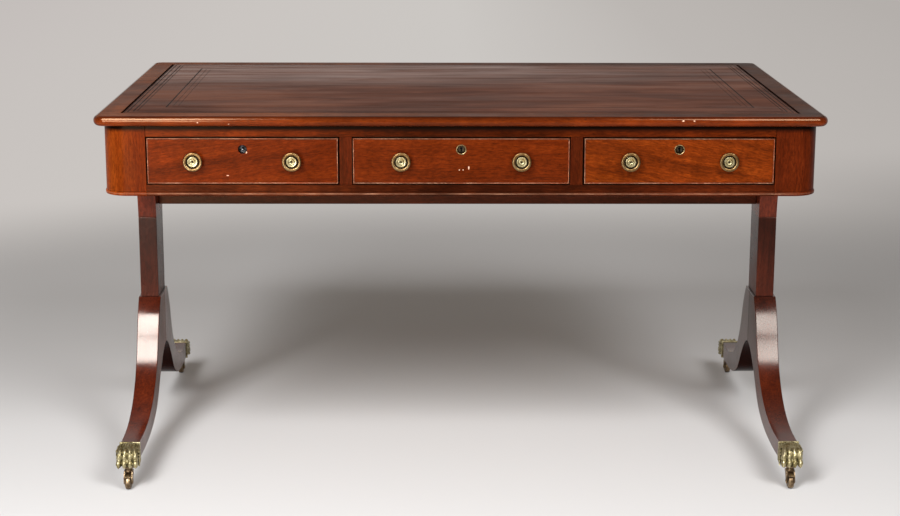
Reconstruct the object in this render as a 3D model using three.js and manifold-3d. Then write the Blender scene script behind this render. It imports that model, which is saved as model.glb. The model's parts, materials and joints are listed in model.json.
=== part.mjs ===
// Partners' desk on two end trestles: three drawers on each side, a leather-lined top,
// sabre legs with lion-paw caps, and brass casters.
// Millimetres, +X to the right of the near side, +Y towards the far side, +Z up.
// The origin is on the floor, under the middle of the desk.

import * as THREE from 'three';
import { mergeVertices } from 'three/addons/utils/BufferGeometryUtils.js';
import Module from 'manifold-3d';

const wasm = await Module();
wasm.setup();

// Overall
const deskHeight = 750;
const topWidth = 1406;
const topDepth = 850;

// Top board and leather
const topThickness = 20;
const topCornerRadius = 22;
const topEdgeRadius = 8;
const leatherEndBorder = 48;
const leatherFrontBorder = 45;
const leatherBedDepth = 1.6;

// Frieze
const topEndOverhang = 15;
const topFrontOverhang = 12;
const friezeHeight = 136;
const friezeCornerRadius = 46;
const cornerPostWidth = 84;
const cornerPostDepth = 70;
const sidePanelThickness = 22;
const drawerRailThickness = 22;
const topRailHeight = 21;
const bottomRailHeight = 22;
const dividerWidth = 24;
const beadHeight = 8;
const beadEdgeRadius = 3;
const beadProud = 1.8;

// Inside the frieze
const partitionThickness = 18;
const runnerHeight = 18;
const runnerWidth = 12;
const guideThickness = 20;
const crossBearerHeight = 20;

// Drawers
const centreDrawerWidth = 420;
const drawerGap = 1.6;
const drawerFrontThickness = 20;
const cockBeadWidth = 3;
const cockBeadProud = 2;
const drawerSideThickness = 10;
const drawerBackThickness = 10;
const drawerBottomThickness = 6;
const drawerSideDrop = 6;
const drawerBackGap = 16;
const centreKnobSpacing = 231;
const outerKnobSpacing = 189;
const keyholeRise = 22;

// Knobs
const knobBaseRadius = 11;
const knobBaseThickness = 2;
const knobNeckRadius = 6;
const knobNeckLength = 7;
const knobHeadRadius = 18.8;
const knobHeadThickness = 7.6;
const knobHeadFlareShare = 2 / 3;
const knobRimWidth = 6.2;
const knobGrooveWidth = 2.6;
const knobGrooveDepth = 2.6;
const knobDiscSink = 1.2;
const knobBossRadius = 4;
const knobBossRise = 1.2;
const stemRadius = 3;
const nutRadius = 6.5;
const nutThickness = 4;

// Locks
const keyholeBoreRadius = 8.7;
const insertFlangeRadius = 10;
const insertFlangeThickness = 0.9;
const lockCaseWidth = 62;
const lockCaseHeight = 42;
const lockCaseThickness = 9;
const keyPinRadius = 1.8;
const keyEyeRadius = 2.8;
const keySlotWidth = 2.6;
const keySlotLength = 7;
const keyEyeShare = 1 / 4;
const keyholeDepth = 6;

// Trestles
const trestleInset = 28;
const standardThickness = 38;
const standardWidth = 94;
const standardHeadHeight = 117;
const standardHeadFlare = 24;
const standardTenonThickness = 16;
const standardTenonWidth = 50;
const standardTenonDepth = 60;
const trestleRailHeight = 95;
const trestleRailThickness = 24;
const railTenonThickness = 12;
const railTenonLength = 14;
const railTenonHeightShare = 2 / 3;

// Sabre legs: reaches run outwards from the middle of the trestle, rises upwards from the ankle
const legHeight = 254;
const shoulderLedge = 3;
const shoulderBendSpread = 33;
const shoulderBendDrop = 34;
const kneeSpread = 51;
const kneeDrop = 82;
const sweepSpread = 57;
const sweepRise = 3;
const ankleLength = 46;
const ankleHeight = 35;
const hockReach = 115;
const hockRise = 60;
const underSweepSpread = 50;
const underSweepRise = 2;
const archBendReach = 40;
const archRise = 140;
const legThicknessAtMiddle = 49;
const legThicknessAtEnd = 36;

// Lion-paw caps
const pawProjection = 5;
const pawLength = 54;
const pawCollarLength = 8;
const pawWall = 2.6;
const pawFloorThickness = 4;
const pawEndWidth = 45;
const pawNoseRise = 16;
const pawBrowRise = 36;
const pawBrowSetback = 28;
const legEndInPaw = 14;
const toeCount = 4;
const toeHalfWidth = 6.6;
const toeHalfLength = 12;
const toeHalfHeight = 10.4;
const knuckleRadius = 6;

// Casters
const swivelSetback = 28;
const wheelRadius = 15;
const wheelWidth = 11;
const wheelEdgeRadius = 2.5;
const wheelTrail = 8;
const axleRadius = 2;
const wheelSideGap = 0.7;
const forkCheekThickness = 2.6;
const forkEyeRadius = 5.5;
const forkCrownHeight = 9;
const forkCrownHalfLength = 9;
const wheelTopGap = 2;
const pivotDiscRadius = 11;
const pivotDiscStandoff = 5;
const pivotPinRadius = 3.5;
const pivotPinLength = 13;
const axleHeadLength = 1;

// Clearances
const glueGap = 0.2;
const boreGap = 0.3;
const runnerGap = 0.4;
const cutOverrun = 5;

// Smoothness, in segments
const cornerSegments = 6;
const edgeSegments = 3;
const curveSegments = 7;
const roundSegments = 12;
const knobSegments = 16;
const toeSegments = 8;
const knuckleSegments = 6;
const wheelSegments = 20;

// Worked-out levels and faces
const topUnderside = deskHeight - topThickness;
const friezeTop = topUnderside - glueGap;
const friezeBottom = topUnderside - friezeHeight;
const friezeHalfWidth = topWidth / 2 - topEndOverhang;
const friezeHalfDepth = topDepth / 2 - topFrontOverhang;
const openingBottom = friezeBottom + bottomRailHeight;
const openingTop = topUnderside - topRailHeight;
const postInnerX = friezeHalfWidth - cornerPostWidth;
const postInnerY = friezeHalfDepth - cornerPostDepth;
const railBackY = friezeHalfDepth - drawerRailThickness;
const panelInnerX = friezeHalfWidth - sidePanelThickness;
const partitionFaceY = partitionThickness / 2;
const dividerInnerX = centreDrawerWidth / 2;
const dividerOuterX = dividerInnerX + dividerWidth;
const outerDrawerWidth = postInnerX - dividerOuterX;
const outerDrawerX = (postInnerX + dividerOuterX) / 2;
const drawerFrontBackY = friezeHalfDepth - drawerFrontThickness;
const drawerMiddleHeight = (openingBottom + openingTop) / 2;
const trestleX = friezeHalfWidth - trestleInset;
const standardHalfWidth = standardWidth / 2;
const standardInnerX = trestleX - standardThickness / 2;

// Worked-out heights of the caster, the paw and the leg, from the floor up
const wheelAxleHeight = wheelRadius;
const forkSlotTop = 2 * wheelRadius + wheelTopGap;
const forkTop = forkSlotTop + forkCrownHeight;
const pawBottomHeight = forkTop + pivotDiscStandoff;
const pivotDiscTop = pawBottomHeight - glueGap;
const pawNoseHeight = pawBottomHeight + pawNoseRise;
const pawBrowHeight = pawBottomHeight + pawBrowRise;
const ankleBottomHeight = pawBottomHeight + pawFloorThickness;
const ankleTopHeight = ankleBottomHeight + ankleHeight;
const underSweepHeight = ankleBottomHeight + underSweepRise;
const hockHeight = ankleBottomHeight + hockRise;
const archHeight = ankleBottomHeight + archRise;
const sweepHeight = ankleTopHeight + sweepRise;
const legTopHeight = ankleBottomHeight + legHeight;
const shoulderBendHeight = legTopHeight - shoulderBendDrop;
const kneeHeight = legTopHeight - kneeDrop;

// Worked-out reaches of the leg, the paw and the swivel, outwards from the middle of the trestle
const pawReach = topDepth / 2 + pawProjection;
const pawCollarReach = pawReach - pawLength;
const pawBrowReach = pawCollarReach + pawBrowSetback;
const swivelReach = pawCollarReach + swivelSetback;
const legEndReach = pawCollarReach + legEndInPaw;
const ankleReach = pawCollarReach - ankleLength;
const legShoulderReach = standardHalfWidth + shoulderLedge;
const shoulderBendReach = legShoulderReach + shoulderBendSpread;
const kneeReach = legShoulderReach + kneeSpread;
const sweepReach = kneeReach + sweepSpread;
const underSweepReach = hockReach + underSweepSpread;

// Materials
const finish = (color, roughness, metalness) => () => (
  new THREE.MeshStandardMaterial({ color, roughness, metalness })
);
const mahogany = finish(0x7a3418, 0.32, 0);
const darkMahogany = finish(0x5c2416, 0.34, 0);
const goldenMahogany = finish(0x8e431c, 0.32, 0);
const innerWood = finish(0xa87a4c, 0.6, 0);
const leather = finish(0x5e3328, 0.5, 0);
const brass = finish(0xa88a48, 0.35, 1);
const casterBrass = finish(0x8d7350, 0.4, 1);
const steel = finish(0x59564f, 0.5, 1);

// Solids
function solidOf(geometry) {
  const bare = geometry.clone();
  bare.deleteAttribute('normal');
  bare.deleteAttribute('uv');
  const welded = mergeVertices(bare);
  return new wasm.Manifold(new wasm.Mesh({
    numProp: 3,
    vertProperties: welded.attributes.position.array,
    triVerts: Uint32Array.from(welded.index.array),
  }));
}

function geometryOf(solid) {
  const { vertProperties, triVerts } = solid.getMesh();
  const geometry = new THREE.BufferGeometry();
  geometry.setAttribute('position', new THREE.BufferAttribute(vertProperties, 3));
  geometry.setIndex(new THREE.BufferAttribute(triVerts, 1));
  geometry.computeVertexNormals();
  return geometry;
}

function joined(first, ...others) {
  return others.reduce((whole, other) => whole.add(other), first);
}

function block([lowX, highX], [lowY, highY], [lowZ, highZ]) {
  const geometry = new THREE.BoxGeometry(highX - lowX, highY - lowY, highZ - lowZ);
  geometry.translate((lowX + highX) / 2, (lowY + highY) / 2, (lowZ + highZ) / 2);
  return solidOf(geometry);
}

const centred = (middle, size) => [middle - size / 2, middle + size / 2];

// A round bar along Y, from one Y to another.
function barAlongY(radius, x, z, [lowY, highY], segments = roundSegments) {
  const geometry = new THREE.CylinderGeometry(radius, radius, highY - lowY, segments);
  geometry.translate(x, (lowY + highY) / 2, z);
  return solidOf(geometry);
}

function barAlongX(radius, y, z, [lowX, highX], segments = roundSegments) {
  const geometry = new THREE.CylinderGeometry(radius, radius, highX - lowX, segments);
  geometry.rotateZ(-Math.PI / 2);
  geometry.translate((lowX + highX) / 2, y, z);
  return solidOf(geometry);
}

function barAlongZ(radius, x, y, [lowZ, highZ], segments = roundSegments) {
  const geometry = new THREE.CylinderGeometry(radius, radius, highZ - lowZ, segments);
  geometry.rotateX(Math.PI / 2);
  geometry.translate(x, y, (lowZ + highZ) / 2);
  return solidOf(geometry);
}

// A side outline drawn in (Y, Z) and extruded along X, centred on X = 0.
function sideExtrusion(shape, thickness) {
  const geometry = new THREE.ExtrudeGeometry(shape, {
    depth: thickness,
    bevelEnabled: false,
    curveSegments,
  });
  geometry.translate(0, 0, -thickness / 2);
  geometry.rotateX(Math.PI / 2);
  geometry.rotateZ(Math.PI / 2);
  return geometry;
}

// Narrows a geometry in X, in step with its distance from Y = 0.
function taperedAlongY(geometry, widthAtStart, widthAtEnd, startY, endY) {
  const position = geometry.attributes.position;
  for (let i = 0; i < position.count; i += 1) {
    const way = (position.getY(i) - startY) / (endY - startY);
    const width = widthAtStart + (widthAtEnd - widthAtStart) * way;
    position.setX(i, Math.sign(position.getX(i)) * width / 2);
  }
  return geometry;
}

// A plate with rounded corners, its underside at the given height. Its edge can be rounded too.
function roundedPlate(halfWidth, halfDepth, cornerRadius, [underside, face], edgeRadius = 0) {
  const shape = new THREE.Shape();
  const x = halfWidth - cornerRadius;
  const y = halfDepth - cornerRadius;
  shape.absarc(x, y, cornerRadius, 0, Math.PI / 2);
  shape.absarc(-x, y, cornerRadius, Math.PI / 2, Math.PI);
  shape.absarc(-x, -y, cornerRadius, Math.PI, Math.PI * 3 / 2);
  shape.absarc(x, -y, cornerRadius, Math.PI * 3 / 2, Math.PI * 2);
  const geometry = new THREE.ExtrudeGeometry(shape, {
    depth: face - underside - 2 * edgeRadius,
    bevelEnabled: edgeRadius > 0,
    bevelThickness: edgeRadius,
    bevelSize: edgeRadius,
    bevelOffset: -edgeRadius,
    bevelSegments: edgeSegments,
    curveSegments: cornerSegments,
  });
  geometry.translate(0, 0, underside + edgeRadius);
  return solidOf(geometry);
}

// Scene graph
const desk = new THREE.Group();

function place(name, solid, material, { x = 0, y = 0, turned = false } = {}) {
  const mesh = new THREE.Mesh(geometryOf(solid), material());
  mesh.name = name;
  mesh.position.set(x, y, 0);
  if (turned) mesh.rotation.z = Math.PI;
  desk.add(mesh);
}

// The desk is the same after half a turn, so each near-side piece is used again on the far side.
// Seen from the near side, what lies to the right there lies to the left on the far side.
const sides = [
  { row: 'front', turned: false, hand: { left: 'left', middle: 'centre', right: 'right' } },
  { row: 'rear', turned: true, hand: { left: 'right', middle: 'centre', right: 'left' } },
];

// Top
const leatherHalfWidth = topWidth / 2 - leatherEndBorder;
const leatherHalfDepth = topDepth / 2 - leatherFrontBorder;
const leatherBedFloor = deskHeight - leatherBedDepth;

function topBoard() {
  const board = roundedPlate(
    topWidth / 2, topDepth / 2, topCornerRadius, [topUnderside, deskHeight], topEdgeRadius,
  );
  const bed = block(
    [-leatherHalfWidth, leatherHalfWidth],
    [-leatherHalfDepth, leatherHalfDepth],
    [leatherBedFloor, deskHeight + cutOverrun],
  );
  return board.subtract(bed);
}

function leatherInset() {
  return block(
    [-leatherHalfWidth + glueGap, leatherHalfWidth - glueGap],
    [-leatherHalfDepth + glueGap, leatherHalfDepth - glueGap],
    [leatherBedFloor + glueGap, deskHeight],
  );
}

place('top_board', topBoard(), mahogany);
place('leather_inset', leatherInset(), leather);

// Frieze: each outer piece takes its stretch of the rounded plan, with the bead along its lower edge.
const friezePlan = roundedPlate(
  friezeHalfWidth, friezeHalfDepth, friezeCornerRadius, [friezeBottom, friezeTop],
);
const beadPlan = roundedPlate(
  friezeHalfWidth + beadProud, friezeHalfDepth + beadProud, friezeCornerRadius + beadProud,
  [friezeBottom, friezeBottom + beadHeight], beadEdgeRadius,
);
const outerPlan = friezePlan.add(beadPlan);
const friezeSpan = [friezeBottom - cutOverrun, deskHeight];
const outerX = friezeHalfWidth + cutOverrun;
const outerY = friezeHalfDepth + cutOverrun;

function cornerPost(signX) {
  const span = signX < 0 ? [-outerX, -postInnerX] : [postInnerX, outerX];
  return outerPlan.intersect(block(span, [-outerY, -postInnerY], friezeSpan));
}

function sidePanel(signX) {
  const span = signX < 0 ? [-outerX, -panelInnerX] : [panelInnerX, outerX];
  return outerPlan.intersect(block(span, [-postInnerY + glueGap, postInnerY - glueGap], friezeSpan));
}

const drawerPlaces = [
  { hand: 'left', x: -outerDrawerX, width: outerDrawerWidth, knobSpacing: outerKnobSpacing },
  { hand: 'middle', x: 0, width: centreDrawerWidth, knobSpacing: centreKnobSpacing },
  { hand: 'right', x: outerDrawerX, width: outerDrawerWidth, knobSpacing: outerKnobSpacing },
];

function drawerFrame() {
  const halfLength = postInnerX - glueGap;
  const frame = outerPlan.intersect(block([-halfLength, halfLength], [-outerY, -railBackY], friezeSpan));
  return drawerPlaces.reduce((rest, { x, width }) => rest.subtract(block(
    centred(x, width),
    [-outerY, -railBackY + cutOverrun],
    [openingBottom, openingTop],
  )), frame);
}

for (const { row, turned, hand } of sides) {
  place(`corner_post_${row}_${hand.left}`, cornerPost(-1), goldenMahogany, { turned });
  place(`corner_post_${row}_${hand.right}`, cornerPost(1), goldenMahogany, { turned });
  place(`${row}_frame`, drawerFrame(), mahogany, { turned });
}
place('side_panel_left', sidePanel(-1), mahogany);
place('side_panel_right', sidePanel(1), mahogany);

// Inner frame: the partition between the two rows of drawers, a web beside each drawer with its
// runner below and its kicker above, and the cross bearers that sit on the standards.
function carcassFrame() {
  const bottom = friezeBottom;
  const top = friezeTop;
  const runnerTop = openingBottom + drawerGap - runnerGap;
  const innerY = railBackY - glueGap;
  const guideY = postInnerY - glueGap;
  const endX = panelInnerX - glueGap;
  const partition = block([-endX, endX], [-partitionFaceY, partitionFaceY], [bottom, top]);
  const webs = [-1, 1].flatMap((side) => {
    const dividerX = side * (dividerInnerX + dividerOuterX) / 2;
    const guideX = side * (postInnerX + guideThickness / 2);
    const flangeX = side * (postInnerX - runnerWidth / 2);
    const bearerX = side * (postInnerX + endX) / 2;
    const flangeSpan = centred(dividerX, dividerWidth + 2 * runnerWidth);
    return [
      block(centred(dividerX, dividerWidth), [-innerY, innerY], [bottom, top]),
      block(flangeSpan, [-innerY, innerY], [runnerTop - runnerHeight, runnerTop]),
      block(flangeSpan, [-innerY, innerY], [openingTop, top]),
      block(centred(guideX, guideThickness), [-guideY, guideY], [bottom, top]),
      block(centred(flangeX, runnerWidth), [-innerY, innerY], [runnerTop - runnerHeight, runnerTop]),
      block(centred(flangeX, runnerWidth), [-innerY, innerY], [openingTop, top]),
      block(centred(bearerX, endX - postInnerX), [-guideY, guideY], [bottom, bottom + crossBearerHeight]),
    ];
  });
  return joined(partition, ...webs);
}
place('carcass_frame', carcassFrame(), innerWood);

// Drawers, each drawn at its own place on the near side
const keyholeHeight = drawerMiddleHeight + keyholeRise;
const knobXs = ({ x, knobSpacing }) => [x - knobSpacing / 2, x + knobSpacing / 2];

function drawerFront(drawer) {
  const { x, width } = drawer;
  const faceY = -friezeHalfDepth;
  const through = [faceY - cutOverrun, -drawerFrontBackY + cutOverrun];
  const span = centred(x, width - 2 * drawerGap);
  const height = [openingBottom + drawerGap, openingTop - drawerGap];
  const slab = block(span, [faceY - cockBeadProud, -drawerFrontBackY], height);
  const field = block(
    [span[0] + cockBeadWidth, span[1] - cockBeadWidth],
    [faceY - cockBeadProud - cutOverrun, faceY],
    [height[0] + cockBeadWidth, height[1] - cockBeadWidth],
  );
  const stemHoles = knobXs(drawer).map((knobX) => (
    barAlongY(stemRadius + boreGap, knobX, drawerMiddleHeight, through)
  ));
  const keyBore = barAlongY(keyholeBoreRadius, x, keyholeHeight, through);
  const lockBed = block(
    centred(x, lockCaseWidth + 2 * boreGap),
    [-drawerFrontBackY - lockCaseThickness - boreGap, -drawerFrontBackY + cutOverrun],
    centred(keyholeHeight, lockCaseHeight + 2 * boreGap),
  );
  return [field, ...stemHoles, keyBore, lockBed].reduce((rest, cut) => rest.subtract(cut), slab);
}

function drawerBox({ x, width }) {
  const span = centred(x, width - 2 * drawerGap);
  const backY = -partitionFaceY - drawerBackGap;
  const bottom = openingBottom + drawerGap;
  const top = openingTop - drawerSideDrop;
  const startY = -drawerFrontBackY + glueGap;
  const inside = block(
    [span[0] + drawerSideThickness, span[1] - drawerSideThickness],
    [startY - cutOverrun, backY - drawerBackThickness],
    [bottom + drawerBottomThickness, top + cutOverrun],
  );
  return block(span, [startY, backY], [bottom, top]).subtract(inside);
}

// A knob turned as one profile, from the nut behind the drawer front to the boss on its dished face.
function knob(x) {
  const nutBack = -drawerFrontThickness - glueGap - nutThickness;
  const neckEnd = knobBaseThickness + knobNeckLength;
  const rimFace = neckEnd + knobHeadThickness;
  const discFace = rimFace - knobDiscSink;
  const grooveOuter = knobHeadRadius - knobRimWidth;
  const grooveInner = grooveOuter - knobGrooveWidth;
  const profile = [
    [0, nutBack],
    [nutRadius, nutBack],
    [nutRadius, nutBack + nutThickness],
    [stemRadius, nutBack + nutThickness],
    [stemRadius, glueGap],
    [knobBaseRadius, glueGap],
    [knobBaseRadius, knobBaseThickness],
    [knobNeckRadius, knobBaseThickness],
    [knobNeckRadius, neckEnd],
    [knobHeadRadius, neckEnd + knobHeadThickness * knobHeadFlareShare],
    [grooveOuter, rimFace],
    [(grooveOuter + grooveInner) / 2, rimFace - knobGrooveDepth],
    [grooveInner, discFace],
    [knobBossRadius, discFace],
    [0, discFace + knobBossRise],
  ].map(([radius, height]) => new THREE.Vector2(radius, height));
  const geometry = new THREE.LatheGeometry(profile, knobSegments);
  geometry.rotateX(Math.PI);
  geometry.translate(x, -friezeHalfDepth, drawerMiddleHeight);
  return solidOf(geometry);
}

function keyholeCut(x, faceY) {
  const depth = [faceY - cutOverrun, faceY + keyholeDepth];
  const eyeHeight = keyholeHeight + keySlotLength * keyEyeShare;
  const eye = barAlongY(keyEyeRadius, x, eyeHeight, depth);
  const slot = block(centred(x, keySlotWidth), depth, [eyeHeight - keySlotLength, eyeHeight]);
  return eye.add(slot);
}

// The steel case lies in its bed behind the drawer front. Its nozzle fills the bore, with a brass
// flange on the face, unless the insert is lost: then only the case and its key pin are left.
function lock({ x }, insertLost) {
  const caseBack = -drawerFrontBackY;
  const caseFace = caseBack - lockCaseThickness;
  const body = block(
    centred(x, lockCaseWidth),
    [caseFace, caseBack],
    centred(keyholeHeight, lockCaseHeight),
  );
  if (insertLost) {
    const pin = barAlongY(keyPinRadius, x, keyholeHeight, [-friezeHalfDepth + boreGap, caseBack]);
    return body.add(pin);
  }
  const flangeFace = -friezeHalfDepth - glueGap - insertFlangeThickness;
  const nozzle = barAlongY(keyholeBoreRadius - boreGap, x, keyholeHeight, [flangeFace, caseBack]);
  const flange = barAlongY(insertFlangeRadius, x, keyholeHeight, [flangeFace, -friezeHalfDepth - glueGap]);
  return joined(body, nozzle, flange).subtract(keyholeCut(x, flangeFace));
}

for (const { row, turned, hand } of sides) {
  for (const drawer of drawerPlaces) {
    const label = `${row}_${hand[drawer.hand]}`;
    const insertLost = label === 'front_left';
    const [knobLowX, knobHighX] = knobXs(drawer);
    const [lowHand, highHand] = turned ? ['b', 'a'] : ['a', 'b'];
    place(`drawer_front_${label}`, drawerFront(drawer), mahogany, { turned });
    place(`drawer_box_${label}`, drawerBox(drawer), innerWood, { turned });
    place(`knob_${label}_${lowHand}`, knob(knobLowX), brass, { turned });
    place(`knob_${label}_${highHand}`, knob(knobHighX), brass, { turned });
    place(`lock_${label}`, lock(drawer, insertLost), insertLost ? steel : brass, { turned });
  }
}

// Trestles, each drawn round X = 0 and then moved to its end of the desk
const railBottom = friezeBottom - glueGap - trestleRailHeight;
const railMiddle = friezeBottom - glueGap - trestleRailHeight / 2;
const railTenonHeight = trestleRailHeight * railTenonHeightShare;

function standard(signX) {
  const top = friezeBottom - glueGap;
  const headBottom = friezeBottom - standardHeadHeight;
  const headHalfWidth = standardHalfWidth + standardHeadFlare;
  const foot = legTopHeight + glueGap;
  const shape = new THREE.Shape();
  shape.moveTo(-standardHalfWidth, foot);
  shape.lineTo(standardHalfWidth, foot);
  shape.lineTo(standardHalfWidth, headBottom);
  shape.lineTo(headHalfWidth, top);
  shape.lineTo(-headHalfWidth, top);
  shape.lineTo(-standardHalfWidth, headBottom);
  shape.closePath();
  const tenon = block(
    centred(0, standardTenonThickness),
    centred(0, standardTenonWidth),
    [legTopHeight - standardTenonDepth, foot + cutOverrun],
  );
  const mortiseX = -signX * (standardThickness / 2 - railTenonLength / 2);
  const mortise = block(
    centred(mortiseX, railTenonLength + 2 * boreGap),
    centred(0, railTenonThickness + 2 * boreGap),
    centred(railMiddle, railTenonHeight + 2 * boreGap),
  );
  return solidOf(sideExtrusion(shape, standardThickness)).add(tenon).subtract(mortise);
}

function trestleRail() {
  const shoulderX = standardInnerX - glueGap;
  const tenonX = standardInnerX + railTenonLength - boreGap;
  const rail = block(
    [-shoulderX, shoulderX],
    centred(0, trestleRailThickness),
    [railBottom, friezeBottom - glueGap],
  );
  const tenons = block(
    [-tenonX, tenonX],
    centred(0, railTenonThickness),
    centred(railMiddle, railTenonHeight),
  );
  return rail.add(tenons);
}

// The far leg of a trestle; the near one is the same after half a turn.
function sabreLeg() {
  const shape = new THREE.Shape();
  shape.moveTo(glueGap / 2, archHeight);
  shape.quadraticCurveTo(archBendReach, archHeight, hockReach, hockHeight);
  shape.quadraticCurveTo(underSweepReach, underSweepHeight, ankleReach, ankleBottomHeight);
  shape.lineTo(legEndReach, ankleBottomHeight);
  shape.lineTo(legEndReach, ankleTopHeight);
  shape.lineTo(ankleReach, ankleTopHeight);
  shape.quadraticCurveTo(sweepReach, sweepHeight, kneeReach, kneeHeight);
  shape.quadraticCurveTo(shoulderBendReach, shoulderBendHeight, legShoulderReach, legTopHeight);
  shape.lineTo(glueGap / 2, legTopHeight);
  shape.closePath();
  const blank = sideExtrusion(shape, legThicknessAtMiddle);
  const leg = taperedAlongY(blank, legThicknessAtMiddle, legThicknessAtEnd, 0, legEndReach);
  const mortise = block(
    centred(0, standardTenonThickness + 2 * boreGap),
    centred(0, standardTenonWidth + 2 * boreGap),
    [legTopHeight - standardTenonDepth - boreGap, legTopHeight + cutOverrun],
  );
  return solidOf(leg).subtract(mortise);
}

const legThicknessAt = (reach) => (
  legThicknessAtMiddle + (legThicknessAtEnd - legThicknessAtMiddle) * reach / legEndReach
);

// A cast cap over the end of the leg: a square collar, a body that widens to the toes, and
// four toes with a knuckle behind each.
function lionPaw() {
  const collarWidth = legThicknessAt(pawCollarReach) + 2 * (glueGap + pawWall);
  const collarTop = ankleTopHeight + glueGap + pawWall;
  const collar = block(
    centred(0, collarWidth),
    [pawCollarReach, pawCollarReach + pawCollarLength],
    [pawBottomHeight, collarTop],
  );
  const shape = new THREE.Shape();
  shape.moveTo(pawCollarReach + pawCollarLength / 2, pawBottomHeight);
  shape.lineTo(pawReach - toeHalfLength, pawBottomHeight);
  shape.quadraticCurveTo(pawReach, pawBottomHeight, pawReach - toeHalfLength / 2, pawNoseHeight);
  shape.quadraticCurveTo(pawReach - toeHalfLength / 2, pawBrowHeight, pawBrowReach, pawBrowHeight);
  shape.lineTo(pawCollarReach + pawCollarLength / 2, ankleTopHeight + glueGap + pawWall / 2);
  shape.closePath();
  const blank = sideExtrusion(shape, pawEndWidth);
  const body = solidOf(taperedAlongY(
    blank, legThicknessAt(pawCollarReach) + pawWall, pawEndWidth, pawCollarReach, pawReach,
  ));
  const toePitch = (pawEndWidth - toeHalfWidth) / toeCount;
  const toes = [...Array(toeCount).keys()].flatMap((index) => {
    const x = (index - (toeCount - 1) / 2) * toePitch;
    const toe = new THREE.SphereGeometry(1, toeSegments, toeSegments - 2);
    toe.scale(toeHalfWidth, toeHalfLength, toeHalfHeight);
    toe.translate(x, pawReach - toeHalfLength, pawBottomHeight + toeHalfHeight);
    const knuckle = new THREE.SphereGeometry(knuckleRadius, knuckleSegments, knuckleSegments - 2);
    knuckle.translate(x, pawReach - 2 * toeHalfLength, pawBrowHeight - knuckleRadius / 2);
    return [solidOf(toe), solidOf(knuckle)];
  });
  const socket = block(
    centred(0, legThicknessAt(pawCollarReach) + 2 * glueGap),
    [pawCollarReach - cutOverrun, legEndReach + glueGap],
    [ankleBottomHeight - glueGap, ankleTopHeight + glueGap],
  );
  const pinHole = barAlongZ(
    pivotPinRadius + boreGap, 0, swivelReach,
    [pawBottomHeight - cutOverrun, pivotDiscTop + pivotPinLength + boreGap],
  );
  return joined(collar, body, ...toes).subtract(socket).subtract(pinHole);
}

// Fork with its pivot pin and axle, in one piece; the wheel trails outwards.
function casterFork() {
  const axleY = swivelReach + wheelTrail;
  const forkHalfWidth = wheelWidth / 2 + wheelSideGap + forkCheekThickness;
  const shape = new THREE.Shape();
  shape.moveTo(swivelReach - forkCrownHalfLength, forkTop);
  shape.lineTo(swivelReach - forkCrownHalfLength, forkSlotTop);
  shape.lineTo(axleY - forkEyeRadius, wheelAxleHeight);
  shape.absarc(axleY, wheelAxleHeight, forkEyeRadius, Math.PI, Math.PI * 2);
  shape.lineTo(axleY + forkEyeRadius, forkSlotTop);
  shape.lineTo(swivelReach + forkCrownHalfLength, forkTop);
  shape.closePath();
  const horn = solidOf(sideExtrusion(shape, 2 * forkHalfWidth));
  const slot = block(
    centred(0, wheelWidth + 2 * wheelSideGap),
    centred(axleY, 2 * (wheelRadius + wheelTopGap)),
    [-cutOverrun, forkSlotTop],
  );
  const axleHalf = forkHalfWidth + axleHeadLength;
  const axle = barAlongX(axleRadius, axleY, wheelAxleHeight, [-axleHalf, axleHalf]);
  const disc = barAlongZ(pivotDiscRadius, 0, swivelReach, [forkTop - forkCrownHeight / 2, pivotDiscTop]);
  const pin = barAlongZ(pivotPinRadius, 0, swivelReach, [forkTop, pivotDiscTop + pivotPinLength]);
  return joined(horn.subtract(slot), axle, disc, pin);
}

function casterWheel() {
  const half = wheelWidth / 2;
  const bore = axleRadius + boreGap;
  const profile = [
    [bore, -half],
    [wheelRadius - wheelEdgeRadius, -half],
    [wheelRadius, -half + wheelEdgeRadius],
    [wheelRadius, half - wheelEdgeRadius],
    [wheelRadius - wheelEdgeRadius, half],
    [bore, half],
    [bore, -half],
  ].map(([radius, height]) => new THREE.Vector2(radius, height));
  const geometry = new THREE.LatheGeometry(profile, wheelSegments);
  geometry.rotateZ(-Math.PI / 2);
  geometry.translate(0, swivelReach + wheelTrail, wheelAxleHeight);
  return solidOf(geometry);
}

for (const [end, signX] of [['left', -1], ['right', 1]]) {
  const x = signX * trestleX;
  place(`standard_${end}`, standard(signX), darkMahogany, { x });
  for (const { row, turned } of [{ row: 'front', turned: true }, { row: 'rear', turned: false }]) {
    place(`leg_${row}_${end}`, sabreLeg(), darkMahogany, { x, turned });
    place(`paw_${row}_${end}`, lionPaw(), brass, { x, turned });
    place(`caster_fork_${row}_${end}`, casterFork(), casterBrass, { x, turned });
    place(`caster_wheel_${row}_${end}`, casterWheel(), casterBrass, { x, turned });
  }
}
place('trestle_rail', trestleRail(), darkMahogany);

export default desk;
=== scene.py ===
# Partners' desk: the looks of every piece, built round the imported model.
# Metres, +X to the right of the near side, +Y towards the far side, +Z up.
import json
import math

import bmesh
import bpy
from mathutils import Matrix, Vector

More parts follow.
